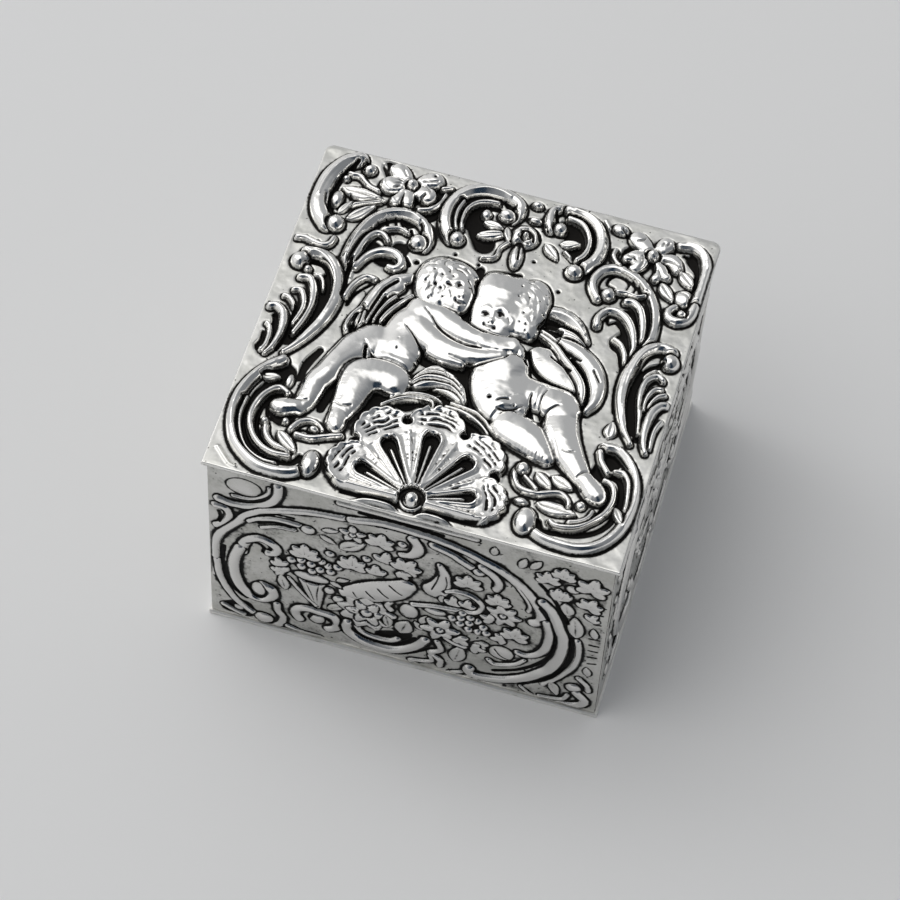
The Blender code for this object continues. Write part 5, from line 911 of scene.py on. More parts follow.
HATCH_SIDE = 13.0
HOLE_RADIUS = 1.25
HOLE_RIM = 1.7

# The metal: its colours, how many grains of each kind go to a metre, and its dents
SILVER = (0.90, 0.89, 0.87, 1.0)
OXIDE = (0.012, 0.011, 0.010, 1.0)
TARNISH = (0.60, 0.60, 0.56, 1.0)
CLOUDS_PER_METRE = 320.0
DENTS_PER_METRE = 900.0
SCRATCHES_PER_METRE = 2400.0
GRAINS_PER_METRE = 2600.0
POLISH_MARKS_PER_METRE = 3200.0
SCRATCH_STRETCH = (0.35, 3.0, 1.0)
DENT_DEPTH = 0.03 * MM
DENT_STRENGTH = 0.3
OXIDE_GLOSS = 0.2

PAPER = (0.80, 0.80, 0.80, 1.0)
PAPER_ROUGHNESS = 0.85

# The window: where it stands, its side, its power and what it faces
WINDOW_PLACE = (-0.45, 0.12, 0.30)
WINDOW_SIZE = 0.22
WINDOW_POWER = 0.35
WINDOW_AIM = (0.0, 0.0, 0.02)

# The studio round the box: direction, where its glow ends and is full (degrees), and how much it adds
SKY_LEVEL = 0.40
SKY_LOBES = (
    ((-0.30, -0.05, 0.95), 42.0, 22.0, 0.95),
    ((-0.97, 0.10, 0.22), 80.0, 30.0, 0.42),
    ((0.85, -0.35, 0.25), 75.0, 30.0, -0.22),
    ((0.10, -0.97, 0.20), 60.0, 25.0, -0.22),
    ((0.15, -0.54, 0.83), 17.0, 9.0, -0.85),
)
SKY_TOP = 1.6
NIGHT = (0.012, 0.02, 0.032, 1.0)
DAY = (1.0, 0.995, 0.985, 1.0)

# Further off than anything on a sheet
FAR = 1.0

# The kinds of form that stand at each place of their line
ONE_PLACE = ("boss", "leaf", "bump", "pit", "lobe", "sprig", "flower")


def numbers(word):
    """The numbers of a word, which commas divide."""
    return [float(part) for part in word.split(",")]


def smooth_path(points, step):
    """Points along a smooth curve through the given ones, about a step apart."""
    given = np.array(points, float)
    padded = np.vstack([2 * given[0] - given[1], given, 2 * given[-1] - given[-2]])
    spans = []
    for before, start, end, after in zip(padded, padded[1:], padded[2:], padded[3:]):
        count = max(2, int(np.hypot(*(end - start)[:2]) / step))
        t = np.linspace(0.0, 1.0, count, endpoint=False)[:, None]
        bend = 2 * before - 5 * start + 4 * end - after
        twist = -before + 3 * start - 3 * end + after
        spans.append(0.5 * (2 * start + (end - before) * t + bend * t**2 + twist * t**3))
    return np.vstack(spans + [given[-1:]])


def blurred(field, sigma):
    """A field softened by a Gaussian of that many cells, mirrored at its edges."""
    pad = int(4 * sigma) + 1
    wide = np.pad(field, pad, mode="reflect")
    rows = np.fft.fftfreq(wide.shape[0])[:, None]
    columns = np.fft.rfftfreq(wide.shape[1])[None, :]
    keep = np.exp(-2.0 * (pi * sigma) ** 2 * (rows**2 + columns**2))
    soft = np.fft.irfft2(np.fft.rfft2(wide) * keep, s=wide.shape)
    return soft[pad:-pad, pad:-pad]


def cloud(shape, sigma, seed):
    """Soft random noise with a spread of 1."""
    noise = blurred(np.random.default_rng(seed).standard_normal(shape), sigma)
    return noise / noise.std()


def ramp(value):
    """A smooth step from 0 to 1."""
    value = np.clip(value, 0.0, 1.0)
    return value * value * (3.0 - 2.0 * value)


class Sheet:
    """A chased sheet: how far it rises and how dark it is at each point of a fine lattice."""

    def __init__(self, low, high, step, corner, unit, relief, moat, fullness):
        columns = int(round((high[0] - low[0]) / step)) + 1
        rows = int(round((high[1] - low[1]) / step)) + 1
        self.step = step
        self.xs = np.linspace(low[0], high[0], columns)
        self.ys = np.linspace(low[1], high[1], rows)
        self.x, self.y = np.meshgrid(self.xs, self.ys)
        self.rise = np.zeros_like(self.x)
        self.ink = np.zeros_like(self.x)
        self.corner = np.array(corner)
        self.unit = np.array(unit)
        self.relief = relief
        self.moat_width, self.moat_depth = moat
        self.fullness = fullness
        self.limbs = []
        self.lift = None
        self.firmness = 0.0

    def window(self, points, margin):
        """The stretch of the lattice round some points."""
        low = np.min(points, axis=0) - margin
        high = np.max(points, axis=0) + margin
        columns = np.searchsorted(self.xs, [low[0], high[0]])
        rows = np.searchsorted(self.ys, [low[1], high[1]])
        return slice(*rows), slice(*columns)

    def places(self, points):
        """Design places on the sheet."""
        return self.corner + np.array(points, float) * self.unit

    def around(self, place, size, turn):
        """The window round a place, and how far each point in it lies along and across a turn."""
        middle = self.places(place)
        win = self.window([middle], self.moat_width + 2.0 * self.step + size)
        away_x = self.x[win] - middle[0]
        away_y = self.y[win] - middle[1]
        along = away_x * cos(radians(turn)) + away_y * sin(radians(turn))
        across = away_y * cos(radians(turn)) - away_x * sin(radians(turn))
        return win, along, across

    def spread(self, values, count):
        """Values set evenly along a stroke, one for each of its points."""
        return np.interp(np.linspace(0.0, 1.0, count), np.linspace(0.0, 1.0, len(values)), values)

    def along(self, points, widths, lift=None):
        """A stroke's window, how far each place lies outside, the same over the width, and the taper.

        Where the stroke has a lift of its own at each point, that takes the taper's place.
        """
        given = self.spread(widths, len(points))
        lifts = given / given.max() if lift is None else self.spread(lift, len(points))
        track = np.column_stack([self.places(points), given * self.unit[0], lifts])
        track = smooth_path(track, 4.0 * self.step)
        margin = self.moat_width + 2.0 * self.step
        gap = np.full(self.rise.shape, FAR)
        reach = np.full(self.rise.shape, FAR / MM)
        size = np.ones(self.rise.shape)
        widest = track[:, 2].max()
        for start, end in zip(track, track[1:]):
            part = self.window([start[:2], end[:2]], margin + max(start[2], end[2]))
            away_x = self.x[part] - start[0]
            away_y = self.y[part] - start[1]
            run = end - start
            t = (away_x * run[0] + away_y * run[1]) / max(run[0] ** 2 + run[1] ** 2, MM**4)
            t = np.clip(t, 0.0, 1.0)
            apart = np.hypot(away_x - t * run[0], away_y - t * run[1])
            width = start[2] + t * run[2]
            nearer = apart / width < reach[part]
            size[part] = np.where(nearer, start[3] + t * run[3], size[part])
            gap[part] = np.minimum(gap[part], apart - width)
            reach[part] = np.minimum(reach[part], apart / width)
        win = self.window(track[:, :2], margin + widest)
        return win, gap[win], reach[win], size[win]

    def oval(self, center, half, turn):
        """The same for an oval."""
        half = np.array(half) * self.unit
        win, across, up = self.around(center, half.max(), turn)
        reach = np.hypot(across / half[0], up / half[1])
        return win, (reach - 1.0) * half.min(), reach

    def lay(self, win, gap, form, moat=1.0):
        """Sets a form on the sheet; what is there sinks round its foot, and darkens."""
        sink = moat * ramp(1.0 - gap / self.moat_width)
        top = max(float(form.max()), MM**2)
        depth = self.moat_depth * min(1.0, top / (LOW_FORM * self.relief))
        ground = self.rise[win] * (1.0 - MOAT_FALL * sink) - depth * sink
        inside = (gap < 0.0) | (form > 0.0)
        self.rise[win] = np.where(inside, np.maximum(form, ground), ground)
        shade = np.maximum(self.ink[win], FOOT_INK * sink)
        self.ink[win] = np.where(inside, FOOT_INK * ramp(-form / top * 8.0 + 0.6), shade)

    def band(self, sizes, rise, points):
        win, gap, reach, size = self.along(points, sizes)
        self.lay(win, gap, rise * (0.4 + 0.6 * size) * np.clip(1.0 - reach**2, 0.0, 1.0) ** self.fullness)

    def boss(self, sizes, rise, place):
        win, gap, reach = self.oval(place, sizes[:2], sizes[2])
        self.lay(win, gap, rise * np.clip(1.0 - reach**2, 0.0, 1.0) ** (0.9 * self.fullness))

    def leaf(self, sizes, rise, place):
        length = sizes[0] * self.unit[0]
        width = sizes[1] * self.unit[0]
        win, along, across = self.around(place, length, sizes[2])
        share = along / length
        half = width * np.clip(1.0 - share**2, 0.0, 1.0) ** 0.8 * (1.0 - 0.25 * share)
        side = np.abs(across)
        past = np.clip(np.abs(share) - 1.0, 0.0, None) * length
        gap = np.maximum(side - half, 0.0) + past - np.clip(half - side, 0.0, None)
        body = np.clip(1.0 - (side / np.maximum(half, MM**2)) ** 2, 0.0, 1.0) ** 0.5
        crease = 0.45 * np.exp(-((side / (0.22 * width)) ** 2)) * ramp((1.0 - np.abs(share)) * 3.0)
        form = rise * body * (1.0 - crease) * (0.75 + 0.25 * share)
        self.lay(win, gap, np.where(gap < 0.0, form, 0.0))
        self.ink[win] = np.maximum(self.ink[win], crease * CREASE_INK * (gap < 0.0))

    def edge(self, sizes, rise, points):
        win, _, reach, _ = self.along(points, sizes)
        form = np.clip(1.0 - reach**2, 0.0, 1.0) ** 0.8
        self.rise[win] += rise * form
        self.ink[win] *= 1.0 - 0.8 * form

    def cut(self, sizes, rise, points):
        win, _, reach, _ = self.along(points, sizes)
        form = np.clip(1.0 - reach**2, 0.0, 1.0) ** 0.7
        self.rise[win] -= rise * form
        strength = min(1.0, 0.45 + rise / (0.5 * self.relief))
        self.ink[win] = np.maximum(self.ink[win], strength * form**0.5)

    def pool(self, sizes, rise, points):
        win, _, reach, _ = self.along(points, sizes)
        form = ramp((1.1 - reach) / 0.5)
        self.rise[win] = self.rise[win] * (1.0 - form) - rise * form
        self.ink[win] = np.maximum(self.ink[win], POOL_INK * form)

    def pit(self, sizes, rise, place):
        win, _, reach = self.oval(place, (sizes[0], sizes[0]), 0.0)
        form = np.clip(1.0 - reach**2, 0.0, 1.0) ** 0.5
        self.rise[win] -= rise * form
        self.ink[win] = np.maximum(self.ink[win], form**0.5)

    def bump(self, sizes, rise, place):
        win, _, reach = self.oval(place, sizes[:2], sizes[2])
        self.rise[win] += rise * np.exp(-1.6 * reach**2) * ramp((1.9 - reach) * 4.0)

    def climb(self, sizes):
        """Sets how high the next limb stands along its length."""
        self.lift = sizes

    def firm(self, sizes):
        """Sets how much of the next limbs' height is a firm base under a flatter dome."""
        self.firmness = sizes[0]

    def limb(self, sizes, rise, points):
        win, gap, reach, size = self.along(points, sizes, self.lift)
        height = rise * (0.6 + 0.4 * size if self.lift is None else size)
        self.lift = None
        self.limbs.append((win, gap, reach, height, self.firmness))

    def lobe(self, sizes, rise, place):
        """An egg that is rounder or boxier across, and may fall to the front."""
        turn, boxy, fall = sizes[4:]
        half = np.array(sizes[:4]) * self.unit[0]
        win, side, up = self.around(place, half.max(), turn)
        wide = np.abs(side) / np.where(side > 0.0, half[1], half[0])
        tall = up / np.where(up > 0.0, half[2], half[3])
        reach = np.hypot(wide ** (boxy / 2.0), tall)
        height = rise * (1.0 - fall * np.clip(-tall, 0.0, 1.0))
        self.limbs.append((win, (reach - 1.0) * half.min(), reach, height, self.firmness))

    def join(self, sizes):
        """Lays the limbs and lobes so far as one figure, their flesh running together."""
        blend = sizes[0] * MM
        form = np.full(self.rise.shape, -FAR)
        gap = np.full(self.rise.shape, FAR)
        for win, limb_gap, reach, top, firmness in self.limbs:
            bulge = 1.0 - np.clip(reach, 0.0, 3.0) ** 2
            flank = 1.0 - np.clip(reach, 0.0, 1.5) ** 8
            dome = np.sign(bulge) * np.abs(bulge) ** (0.55 + 0.45 * firmness)
            base = np.sign(flank) * np.abs(flank) ** 0.5
            one = top * (firmness * base + (1.0 - firmness) * dome)
            near = np.maximum(blend - np.abs(form[win] - one), 0.0)
            form[win] = np.maximum(form[win], one) + near**2 / (4.0 * blend)
            gap[win] = np.minimum(gap[win], limb_gap)
        self.limbs = []
        self.lay((slice(None), slice(None)), gap, np.maximum(form, 0.0), sizes[1])

    def rays(self, length, ways, shares, rise, middle):
        """Creased lobes that spread from a middle; each way has its own share of the length."""
        aims = np.column_stack([np.cos(np.radians(ways)), np.sin(np.radians(ways))])
        outward = aims * np.array(shares)[:, None] * length * self.unit[0] / self.unit
        for out in outward:
            self.limb([0.12 * length, 0.34 * length, 0.16 * length], rise,
                      [middle, middle + 0.6 * out, middle + out])
        self.join([0.05, 1.0])
        for out in outward:
            self.cut([0.12, 0.2, 0.12], 0.25 * rise, [middle + 0.3 * out, middle + 0.95 * out])

    def sprig(self, sizes, rise, place):
        length, turn, count, spread = sizes
        fan = np.linspace(-1.0, 1.0, int(count))
        self.rays(length, turn + 0.5 * spread * fan, 1.0 - 0.25 * np.abs(fan), rise, np.array(place))

    def flower(self, sizes, rise, place):
        length, turn, count, ball = sizes
        ways = turn + 360.0 * np.arange(int(count)) / count
        self.rays(length, ways, np.ones(int(count)), rise, np.array(place))
        self.boss([ball, ball * self.unit[0] / self.unit[1], 0.0], 1.2 * rise, place)

    def draw(self, design):
        """Works a whole design into the sheet, line by line."""
        for line in design.replace("\n  ", " ").strip().split("\n"):
            if line.startswith("#"):
                continue
            head, *strokes = line.split(" / ")
            kind, sizes, *rest = head.split()
            work = getattr(self, kind)
            sizes = numbers(sizes)
            if not rest:
                work(sizes)
                continue
            rise = float(rest[0]) * self.relief
            for stroke in [" ".join(rest[1:])] + strokes:
                places = [numbers(place) for place in stroke.split()]
                for target in places if kind in ONE_PLACE else [places]:
                    work(sizes, rise, target)

    def finish(self, border, roughness, ground_ink, seed):
        """Softens the forms, roughens the ground a little and brings it all down at the edges.

        Then the oxide: it stays in the hollows, on specks and over the open ground, and is worn off
        crowns and polished parts.
        """
        shape = self.rise.shape
        self.rise += roughness * cloud(shape, GROUND_WAVES / self.step, seed)
        self.rise += 0.35 * roughness * cloud(shape, GROUND_GRAIN / self.step, seed + 1)
        edge_x = np.minimum(self.x - self.xs[0], self.xs[-1] - self.x)
        edge_y = np.minimum(self.y - self.ys[0], self.ys[-1] - self.y)
        inner = ramp(np.minimum(edge_x, edge_y) / border)
        self.rise = blurred(self.rise * inner, SOFTNESS / self.step)
        self.ink = blurred(self.ink, 0.5 * SOFTNESS / self.step) * inner

        hollow = blurred(self.rise, HOLLOW_REACH / self.step) - self.rise
        depth = HOLLOW_DEPTH * self.relief
        self.polish = ramp(self.rise / (POLISHED * self.relief)) * (1.0 - 0.5 * self.ink)
        specks = ramp((cloud(shape, GROUND_SPECKS / self.step, seed + 2) - 2.1) / 0.7)
        crown = ramp(-hollow / depth) * ramp(1.0 + self.rise / depth)
        self.ink = 0.75 * self.ink + 0.6 * ramp(hollow / depth) - 0.35 * crown
        mottle = np.clip(1.0 + 0.25 * cloud(shape, GROUND_CLOUDS / self.step, seed + 3), 0.2, 1.8)
        self.ink += (0.5 * specks + ground_ink * mottle * inner) * (1.0 - self.polish)
        self.ink = np.clip(self.ink, 0.0, 1.0)


def shell(sheet):
    """The scallop shell: ribs and hollow flutes round a ball, and hatched arches with four holes."""
    away = np.array([sheet.x, sheet.y]) - sheet.places(SHELL_CENTER)[:, None, None]
    radius = np.hypot(*away) / sheet.unit[0]
    angle = np.degrees(np.arctan2(away[0], away[1]))
    arch = np.searchsorted(SHELL_SEAMS, angle.ravel()).reshape(angle.shape)
    middle, rim, end = (np.array(column)[arch] for column in zip(*SHELL_ARCHES))
    turn = angle - middle
    side = np.abs(turn)
    outline = rim * (1.0 - 0.15 * (turn / ARCH_SIDE) ** 2) + 0.55 * np.abs(np.cos(turn * pi / SCALLOP))
    bottom = sheet.places((0.0, SHELL_BOTTOM))[1] - sheet.y
    gap = np.maximum((radius - outline) * sheet.unit[0], bottom)
    arc = radians(1.0) * radius

    # A drop-shaped hollow in each flute, with a spine in it and a lip round it
    drop = np.hypot(side / HOLLOW_SIDE, np.maximum(radius - end + HOLLOW_ROUND, 0.0) / HOLLOW_ROUND)
    hollow = ramp((1.0 - drop) / 0.14) * (radius > HOLLOW_START)
    spine = np.exp(-((side * arc / SPINE_WIDTH) ** 2)) * ramp((end - 2.0 - radius) / 1.5)
    lip = np.exp(-((((drop - 1.0) * HOLLOW_SIDE * arc - 0.55) / 0.42) ** 2)) * (radius < end + 1.6)

    # The flutes rise to their seams, and the arches to the rim
    flute = 0.38 + 0.15 * np.clip((side - FLUTE_SIDE) / (ARCH_SIDE - FLUTE_SIDE), -1.5, 1.0) ** 2
    beyond = np.clip((radius - end) / (outline - end), 0.0, 1.0)
    plate = np.where(radius < end, flute, 0.44 + 0.08 * beyond)
    plate += 0.22 * lip + 0.13 * np.exp(-(((outline - radius - 0.75) / 0.5) ** 2))
    plate += 0.16 * np.exp(-((bottom / sheet.unit[0] + 0.9) / 0.6) ** 2)
    form = plate * (1.0 - hollow) + hollow * (0.06 + 0.36 * spine)

    # Rows of short hatches across the arches, and dots beside the seams
    wobble = 0.25 * cloud(radius.shape, 0.5 * MM / sheet.step, SHELL_SEED)
    rows = 0.5 + 0.5 * np.cos(2.0 * pi * ((radius - end - HATCH_START + wobble) / HATCH_PITCH))
    dashes = ramp(cloud(radius.shape, 0.16 * MM / sheet.step, SHELL_SEED + 1) * 0.5 + 0.9)
    hatch = ramp((rows - 0.45) / 0.4) * dashes * ramp((HATCH_SIDE - side) / 3.0)
    hatch *= ramp((radius - end - 1.2) / 0.5) * ramp((outline - 1.5 - radius) / 0.6)
    dots = ramp(cloud(radius.shape, 0.11 * MM / sheet.step, SHELL_SEED + 2) - 0.4)
    dots = dots * np.exp(-((((ARCH_SIDE - side) * arc - 0.5) / 0.3) ** 2))
    dots *= ramp((radius - 8.0) / 2.0) * (radius < end + 3.0)
    form -= 0.13 * hatch + 0.06 * dots

    round_edge = np.clip(-gap / (0.4 * MM), 0.0, 1.0) ** 0.5
    everywhere = (slice(None), slice(None))
    sheet.lay(everywhere, gap, np.where(gap < 0.0, form * round_edge * sheet.relief, 0.0))
    ink = hollow * (1.0 - 0.9 * spine) + 0.9 * hatch + 0.7 * dots
    sheet.ink = np.where(gap < 0.0, np.clip(ink, 0.0, 1.0), sheet.ink)

    def place(turned, reach):
        turned = radians(turned)
        return SHELL_CENTER[0] + reach * sin(turned), SHELL_CENTER[1] + reach * cos(turned)

    for turned, reach in SHELL_HOLES:
        sheet.edge([HOLE_RIM], 0.12 * sheet.relief, [place(turned, reach), place(turned, reach + 0.1)])
        sheet.pit([HOLE_RADIUS], 0.75 * sheet.relief, place(turned, reach))
    sheet.draw(SHELL_FOOT)
    sheet.boss([SHELL_BALL + 0.9, SHELL_BALL + 0.9, 0.0], 0.42 * sheet.relief, SHELL_CENTER)
    sheet.boss([SHELL_BALL, SHELL_BALL, 0.0], 0.8 * sheet.relief, SHELL_CENTER)


def lid_sheet():
    """The lid: scrolls, leaves and flowers, the shell, and two winged putti embracing."""
    low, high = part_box("lid_cover")
    unit = ((high[0] - low[0]) / 100.0, (high[1] - low[1]) / 100.0)
    moat = (LID_MOAT_WIDTH, LID_MOAT_DEPTH)
    sheet = Sheet(low[:2], high[:2], FINE_STEP, low[:2], unit, LID_RELIEF, moat, LID_FULLNESS)
    sheet.draw(LID_DESIGN)
    shell(sheet)
    sheet.draw(LID_FIGURES)
    sheet.finish(LID_BORDER, LID_ROUGHNESS, LID_GROUND_INK, LID_SEED)
    return sheet


def wall_sheet(name):
    """A wall: the front one has its own design, the others a cartouche with a mirror image."""
    low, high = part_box(name)
    across = 0 if name in ("front_wall", "back_wall") else 1
    half = (high[across] - low[across]) / 2.0
    middle = (high[2] + low[2]) / 2.0
    tall = (high[2] - low[2]) / 2.0
    if name == "front_wall":
        lid_low, lid_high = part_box("lid_cover")
        full = lid_high[0] - lid_low[0]
        edge_top = lid_high[2] - LID_RELIEF
        step = FINE_STEP
        unit = (full / 100.0, edge_top / 100.0)
        corner = (-full / 2.0, -middle - FRONT_DROP * edge_top)
    else:
        step = PLAIN_STEP
        unit = (2.0 * half / 100.0, 2.0 * tall / 100.0)
        corner = (-half, -tall)
    moat = (WALL_MOAT_WIDTH, WALL_MOAT_DEPTH)
    sheet = Sheet((-half, -tall), (half, tall), step, corner, unit, WALL_RELIEF, moat, WALL_FULLNESS)
    if name == "front_wall":
        sheet.draw(FRONT_DESIGN)
        seed = FRONT_SEED
    else:
        sheet.draw(SIDE_DESIGN)
        sheet.rise = np.where(sheet.x > 0.0, sheet.rise[:, ::-1], sheet.rise)
        sheet.ink = np.where(sheet.x > 0.0, sheet.ink[:, ::-1], sheet.ink)
        sheet.draw(SIDE_MIDDLE)
        seed = PLAIN_SEED + len(name)
    if name == "back_wall":
        plain = ramp((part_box("hinge_bearer")[1][2] - BACK_PLAIN - middle - sheet.y) / BACK_PLAIN)
        sheet.rise *= plain
        sheet.ink *= plain
    sheet.finish(WALL_BORDER, WALL_ROUGHNESS, WALL_GROUND_INK, seed)
    return sheet


def rounded_corners(x, y, half, radius):
    """Places near the two back corners drawn in along quarter circles."""
    past_x = (np.abs(x) - (half[0] - radius)) / radius
    past_y = (y - (half[1] - radius)) / radius
    near = (past_x > 0.0) & (past_y > 0.0)
    px = np.clip(past_x, 0.0, 1.0)
    py = np.clip(past_y, 0.0, 1.0)
    x = np.where(near, np.sign(x) * (half[0] - radius + radius * px * np.sqrt(1.0 - py * py / 2.0)), x)
    y = np.where(near, half[1] - radius + radius * py * np.sqrt(1.0 - px * px / 2.0), y)
    return x, y


def border_of(rows, columns):
    """The lattice's border, once round, counter-clockwise from its lower left corner."""
    index = np.arange(rows * columns).reshape(rows, columns)
    return np.concatenate([index[0, :-1], index[:-1, -1], index[-1, :0:-1], index[:0:-1, 0]])


def edge_rings(sheet, rim, thickness, mitre, ease, seed):
    """Rings round a sheet from its face over its rounded edge to its back, with mitred ends."""
    half_width = sheet.xs[-1]
    ahead = np.roll(rim, -1, axis=0) - np.roll(rim, 1, axis=0)
    outward = np.column_stack([ahead[:, 1], -ahead[:, 0]])
    outward /= np.linalg.norm(outward, axis=1)[:, None]
    at_end = np.abs(np.abs(rim[:, 0]) - half_width) < sheet.step / 2.0
    wave = cloud((4, len(rim)), WAVER_LENGTH, seed)[1][:, None]
    rings = []
    for k, (out, down) in enumerate(FACE_RINGS):
        ring = rim.copy()
        ring[:, :2] += outward * (ease * (out - 1.0) + WAVER * ease * wave * (k > 0))
        ring[:, 2] = thickness - ease * down
        ring[:, 0] -= np.where(at_end, np.sign(rim[:, 0]) * min(ease * down, mitre), 0.0)
        rings.append(ring)
    for out, high in BACK_RINGS:
        ring = rim.copy()
        ring[:, :2] += outward * ease * (out - 1.0)
        ring[:, 2] = ease * high
        ring[:, 0] -= np.where(at_end, np.sign(rim[:, 0]) * max(mitre - ease * high, 0.0), 0.0)
        rings.append(ring)
    return rings


def sheet_faces(rows, columns, border, count):
    """The corners of a sheet's quads, over its face and down its edge, and of its back's triangles."""
    index = np.arange(rows * columns).reshape(rows, columns)
    quads = [np.column_stack([index[:-1, :-1].ravel(), index[:-1, 1:].ravel(),
                              index[1:, 1:].ravel(), index[1:, :-1].ravel()])]
    loops = [border] + [rows * columns + k * len(border) + np.arange(len(border)) for k in range(count)]
    for upper, lower in zip(loops, loops[1:]):
        quads.append(np.column_stack([lower, np.roll(lower, -1), np.roll(upper, -1), upper]))
    back = loops[-1][::-1]
    hub = rows * columns + count * len(border)
    spokes = np.column_stack([back, np.roll(back, -1), np.full(len(back), hub)])
    return np.vstack(quads), spokes, loops


def sheet_piece(name, sheet, place, thickness, mitre, corner_radius, ease, material):
    """A closed sheet: the worked face, a rounded edge all round and a flat back.

    place carries (x, y, height) on the sheet into the frame; the back is at height 0.
    """
    rows, columns = sheet.rise.shape
    half = (sheet.xs[-1], sheet.ys[-1])
    center = np.array([(sheet.xs[0] + sheet.xs[-1]) / 2.0, (sheet.ys[0] + sheet.ys[-1]) / 2.0])
    x, y = sheet.x, sheet.y
    if corner_radius > 0.0:
        x, y = rounded_corners(x, y - center[1], (half[0], half[1] - center[1]), corner_radius)
        y = y + center[1]
    worked = np.maximum(sheet.rise + thickness, THINNEST)
    face_points = np.column_stack([x.ravel(), y.ravel(), worked.ravel()])
    border = border_of(rows, columns)
    rings = edge_rings(sheet, face_points[border], thickness, mitre, ease, len(name))
    shrink = 1.0 - ease / np.array(half)
    face_points[:, :2] = center + (face_points[:, :2] - center) * shrink
    points = np.vstack([face_points] + rings + [rings[-1].mean(axis=0)])
    world = np.column_stack([points, np.ones(len(points))]) @ np.array(place.transposed())

    quads, spokes, loops = sheet_faces(rows, columns, border, len(rings))
    corners = np.concatenate([quads.ravel(), spokes.ravel()])
    starts = np.concatenate([4 * np.arange(len(quads)), quads.size + 3 * np.arange(len(spokes))])
    smooth = np.concatenate([np.ones(len(quads), bool), np.zeros(len(spokes), bool)])
    mesh = bpy.data.meshes.new(name)
    mesh.vertices.add(len(points))
    mesh.vertices.foreach_set("co", world[:, :3].ravel())
    mesh.loops.add(len(corners))
    mesh.loops.foreach_set("vertex_index", corners.astype(np.int32))
    mesh.polygons.add(len(starts))
    mesh.polygons.foreach_set("loop_start", starts.astype(np.int32))
    mesh.polygons.foreach_set("use_smooth", smooth)
    mesh.update(calc_edges=True)

    rim_ink = sheet.ink.ravel()[border] * RIM_INK_SHARE
    patina = np.concatenate([sheet.ink.ravel()] + [rim_ink + share for share in RING_INK] + [[BACK_INK]])
    mesh.attributes.new("patina", "FLOAT", "POINT").data.foreach_set("value", patina.astype(np.float32))
    polish = np.concatenate([sheet.polish.ravel(), np.full(len(rings) * len(border) + 1, BACK_POLISH)])
    mesh.attributes.new("polish", "FLOAT", "POINT").data.foreach_set("value", polish.astype(np.float32))

    # The bake map: the face, the edge in rings round it, and the back small in a corner
    span = np.array([sheet.xs[-1] - sheet.xs[0], sheet.ys[-1] - sheet.ys[0]])
    flat = (points[:, :2] - center) / span.max()
    for k, loop in enumerate(loops[1:]):
        flat[loop] *= 1.0 + RING_GROWTH * (k + 1)
    spots = flat[corners] * FACE_SHARE + FACE_MIDDLE
    spots[-spokes.size:] = flat[spokes.ravel()] * BACK_SHARE + BACK_MIDDLE
    mesh.uv_layers.new(name="OFBake").data.foreach_set("uv", spots.astype(np.float32).ravel())
    piece = bpy.data.objects.new(name, mesh)
    bpy.context.collection.objects.link(piece)
    mesh.materials.append(material)
    return piece


class Nodes:
    """Shorthand for building a material's nodes."""

    def __init__(self, tree):
        self.tree = tree

    def add(self, kind, **settings):
        node = self.tree.nodes.new(kind)
        for name, value in settings.items():
            setattr(node, name, value)
        return node

    def feed(self, socket, value):
        if hasattr(value, "links"):
            self.tree.links.new(value, socket)
        else:
            socket.default_value = value

    def math(self, operation, first, second=0.0, clamp=False):
        node = self.add("ShaderNodeMath", operation=operation, use_clamp=clamp)
        self.feed(node.inputs[0], first)
        self.feed(node.inputs[1], second)
        return node.outputs[0]

    def plus(self, first, second):
        return self.math("ADD", first, second)

    def times(self, first, second):
        return self.math("MULTIPLY", first, second)

    def noise(self, place, scale, detail, roughness=0.5):
        node = self.add("ShaderNodeTexNoise")
        self.feed(node.inputs["Vector"], place)
        self.feed(node.inputs["Scale"], scale)
        self.feed(node.inputs["Detail"], detail)
        self.feed(node.inputs["Roughness"], roughness)
        return node.outputs["Fac"]

    def fit(self, value, low, high, to_low, to_high):
        node = self.add("ShaderNodeMapRange", interpolation_type="SMOOTHSTEP")
        for name, number in (("Value", value), ("From Min", low), ("From Max", high),
                             ("To Min", to_low), ("To Max", to_high)):
            self.feed(node.inputs[name], number)
        return node.outputs["Result"]

    def mix(self, share, first, second):
        node = self.add("ShaderNodeMix", data_type="RGBA")
        self.feed(node.inputs["Factor"], share)
        self.feed(node.inputs["A"], first)
        self.feed(node.inputs["B"], second)
        return node.outputs["Result"]

    def stretched(self, scale):
        place = self.add("ShaderNodeTexCoord").outputs["Object"]
        node = self.add("ShaderNodeMapping")
        self.feed(node.inputs["Vector"], place)
        node.inputs["Scale"].default_value = scale
        return node.outputs["Vector"]


def dimmed(color, shade):
    """A darker shade of a colour."""
    return tuple(part * shade for part in color[:3]) + (1.0,)


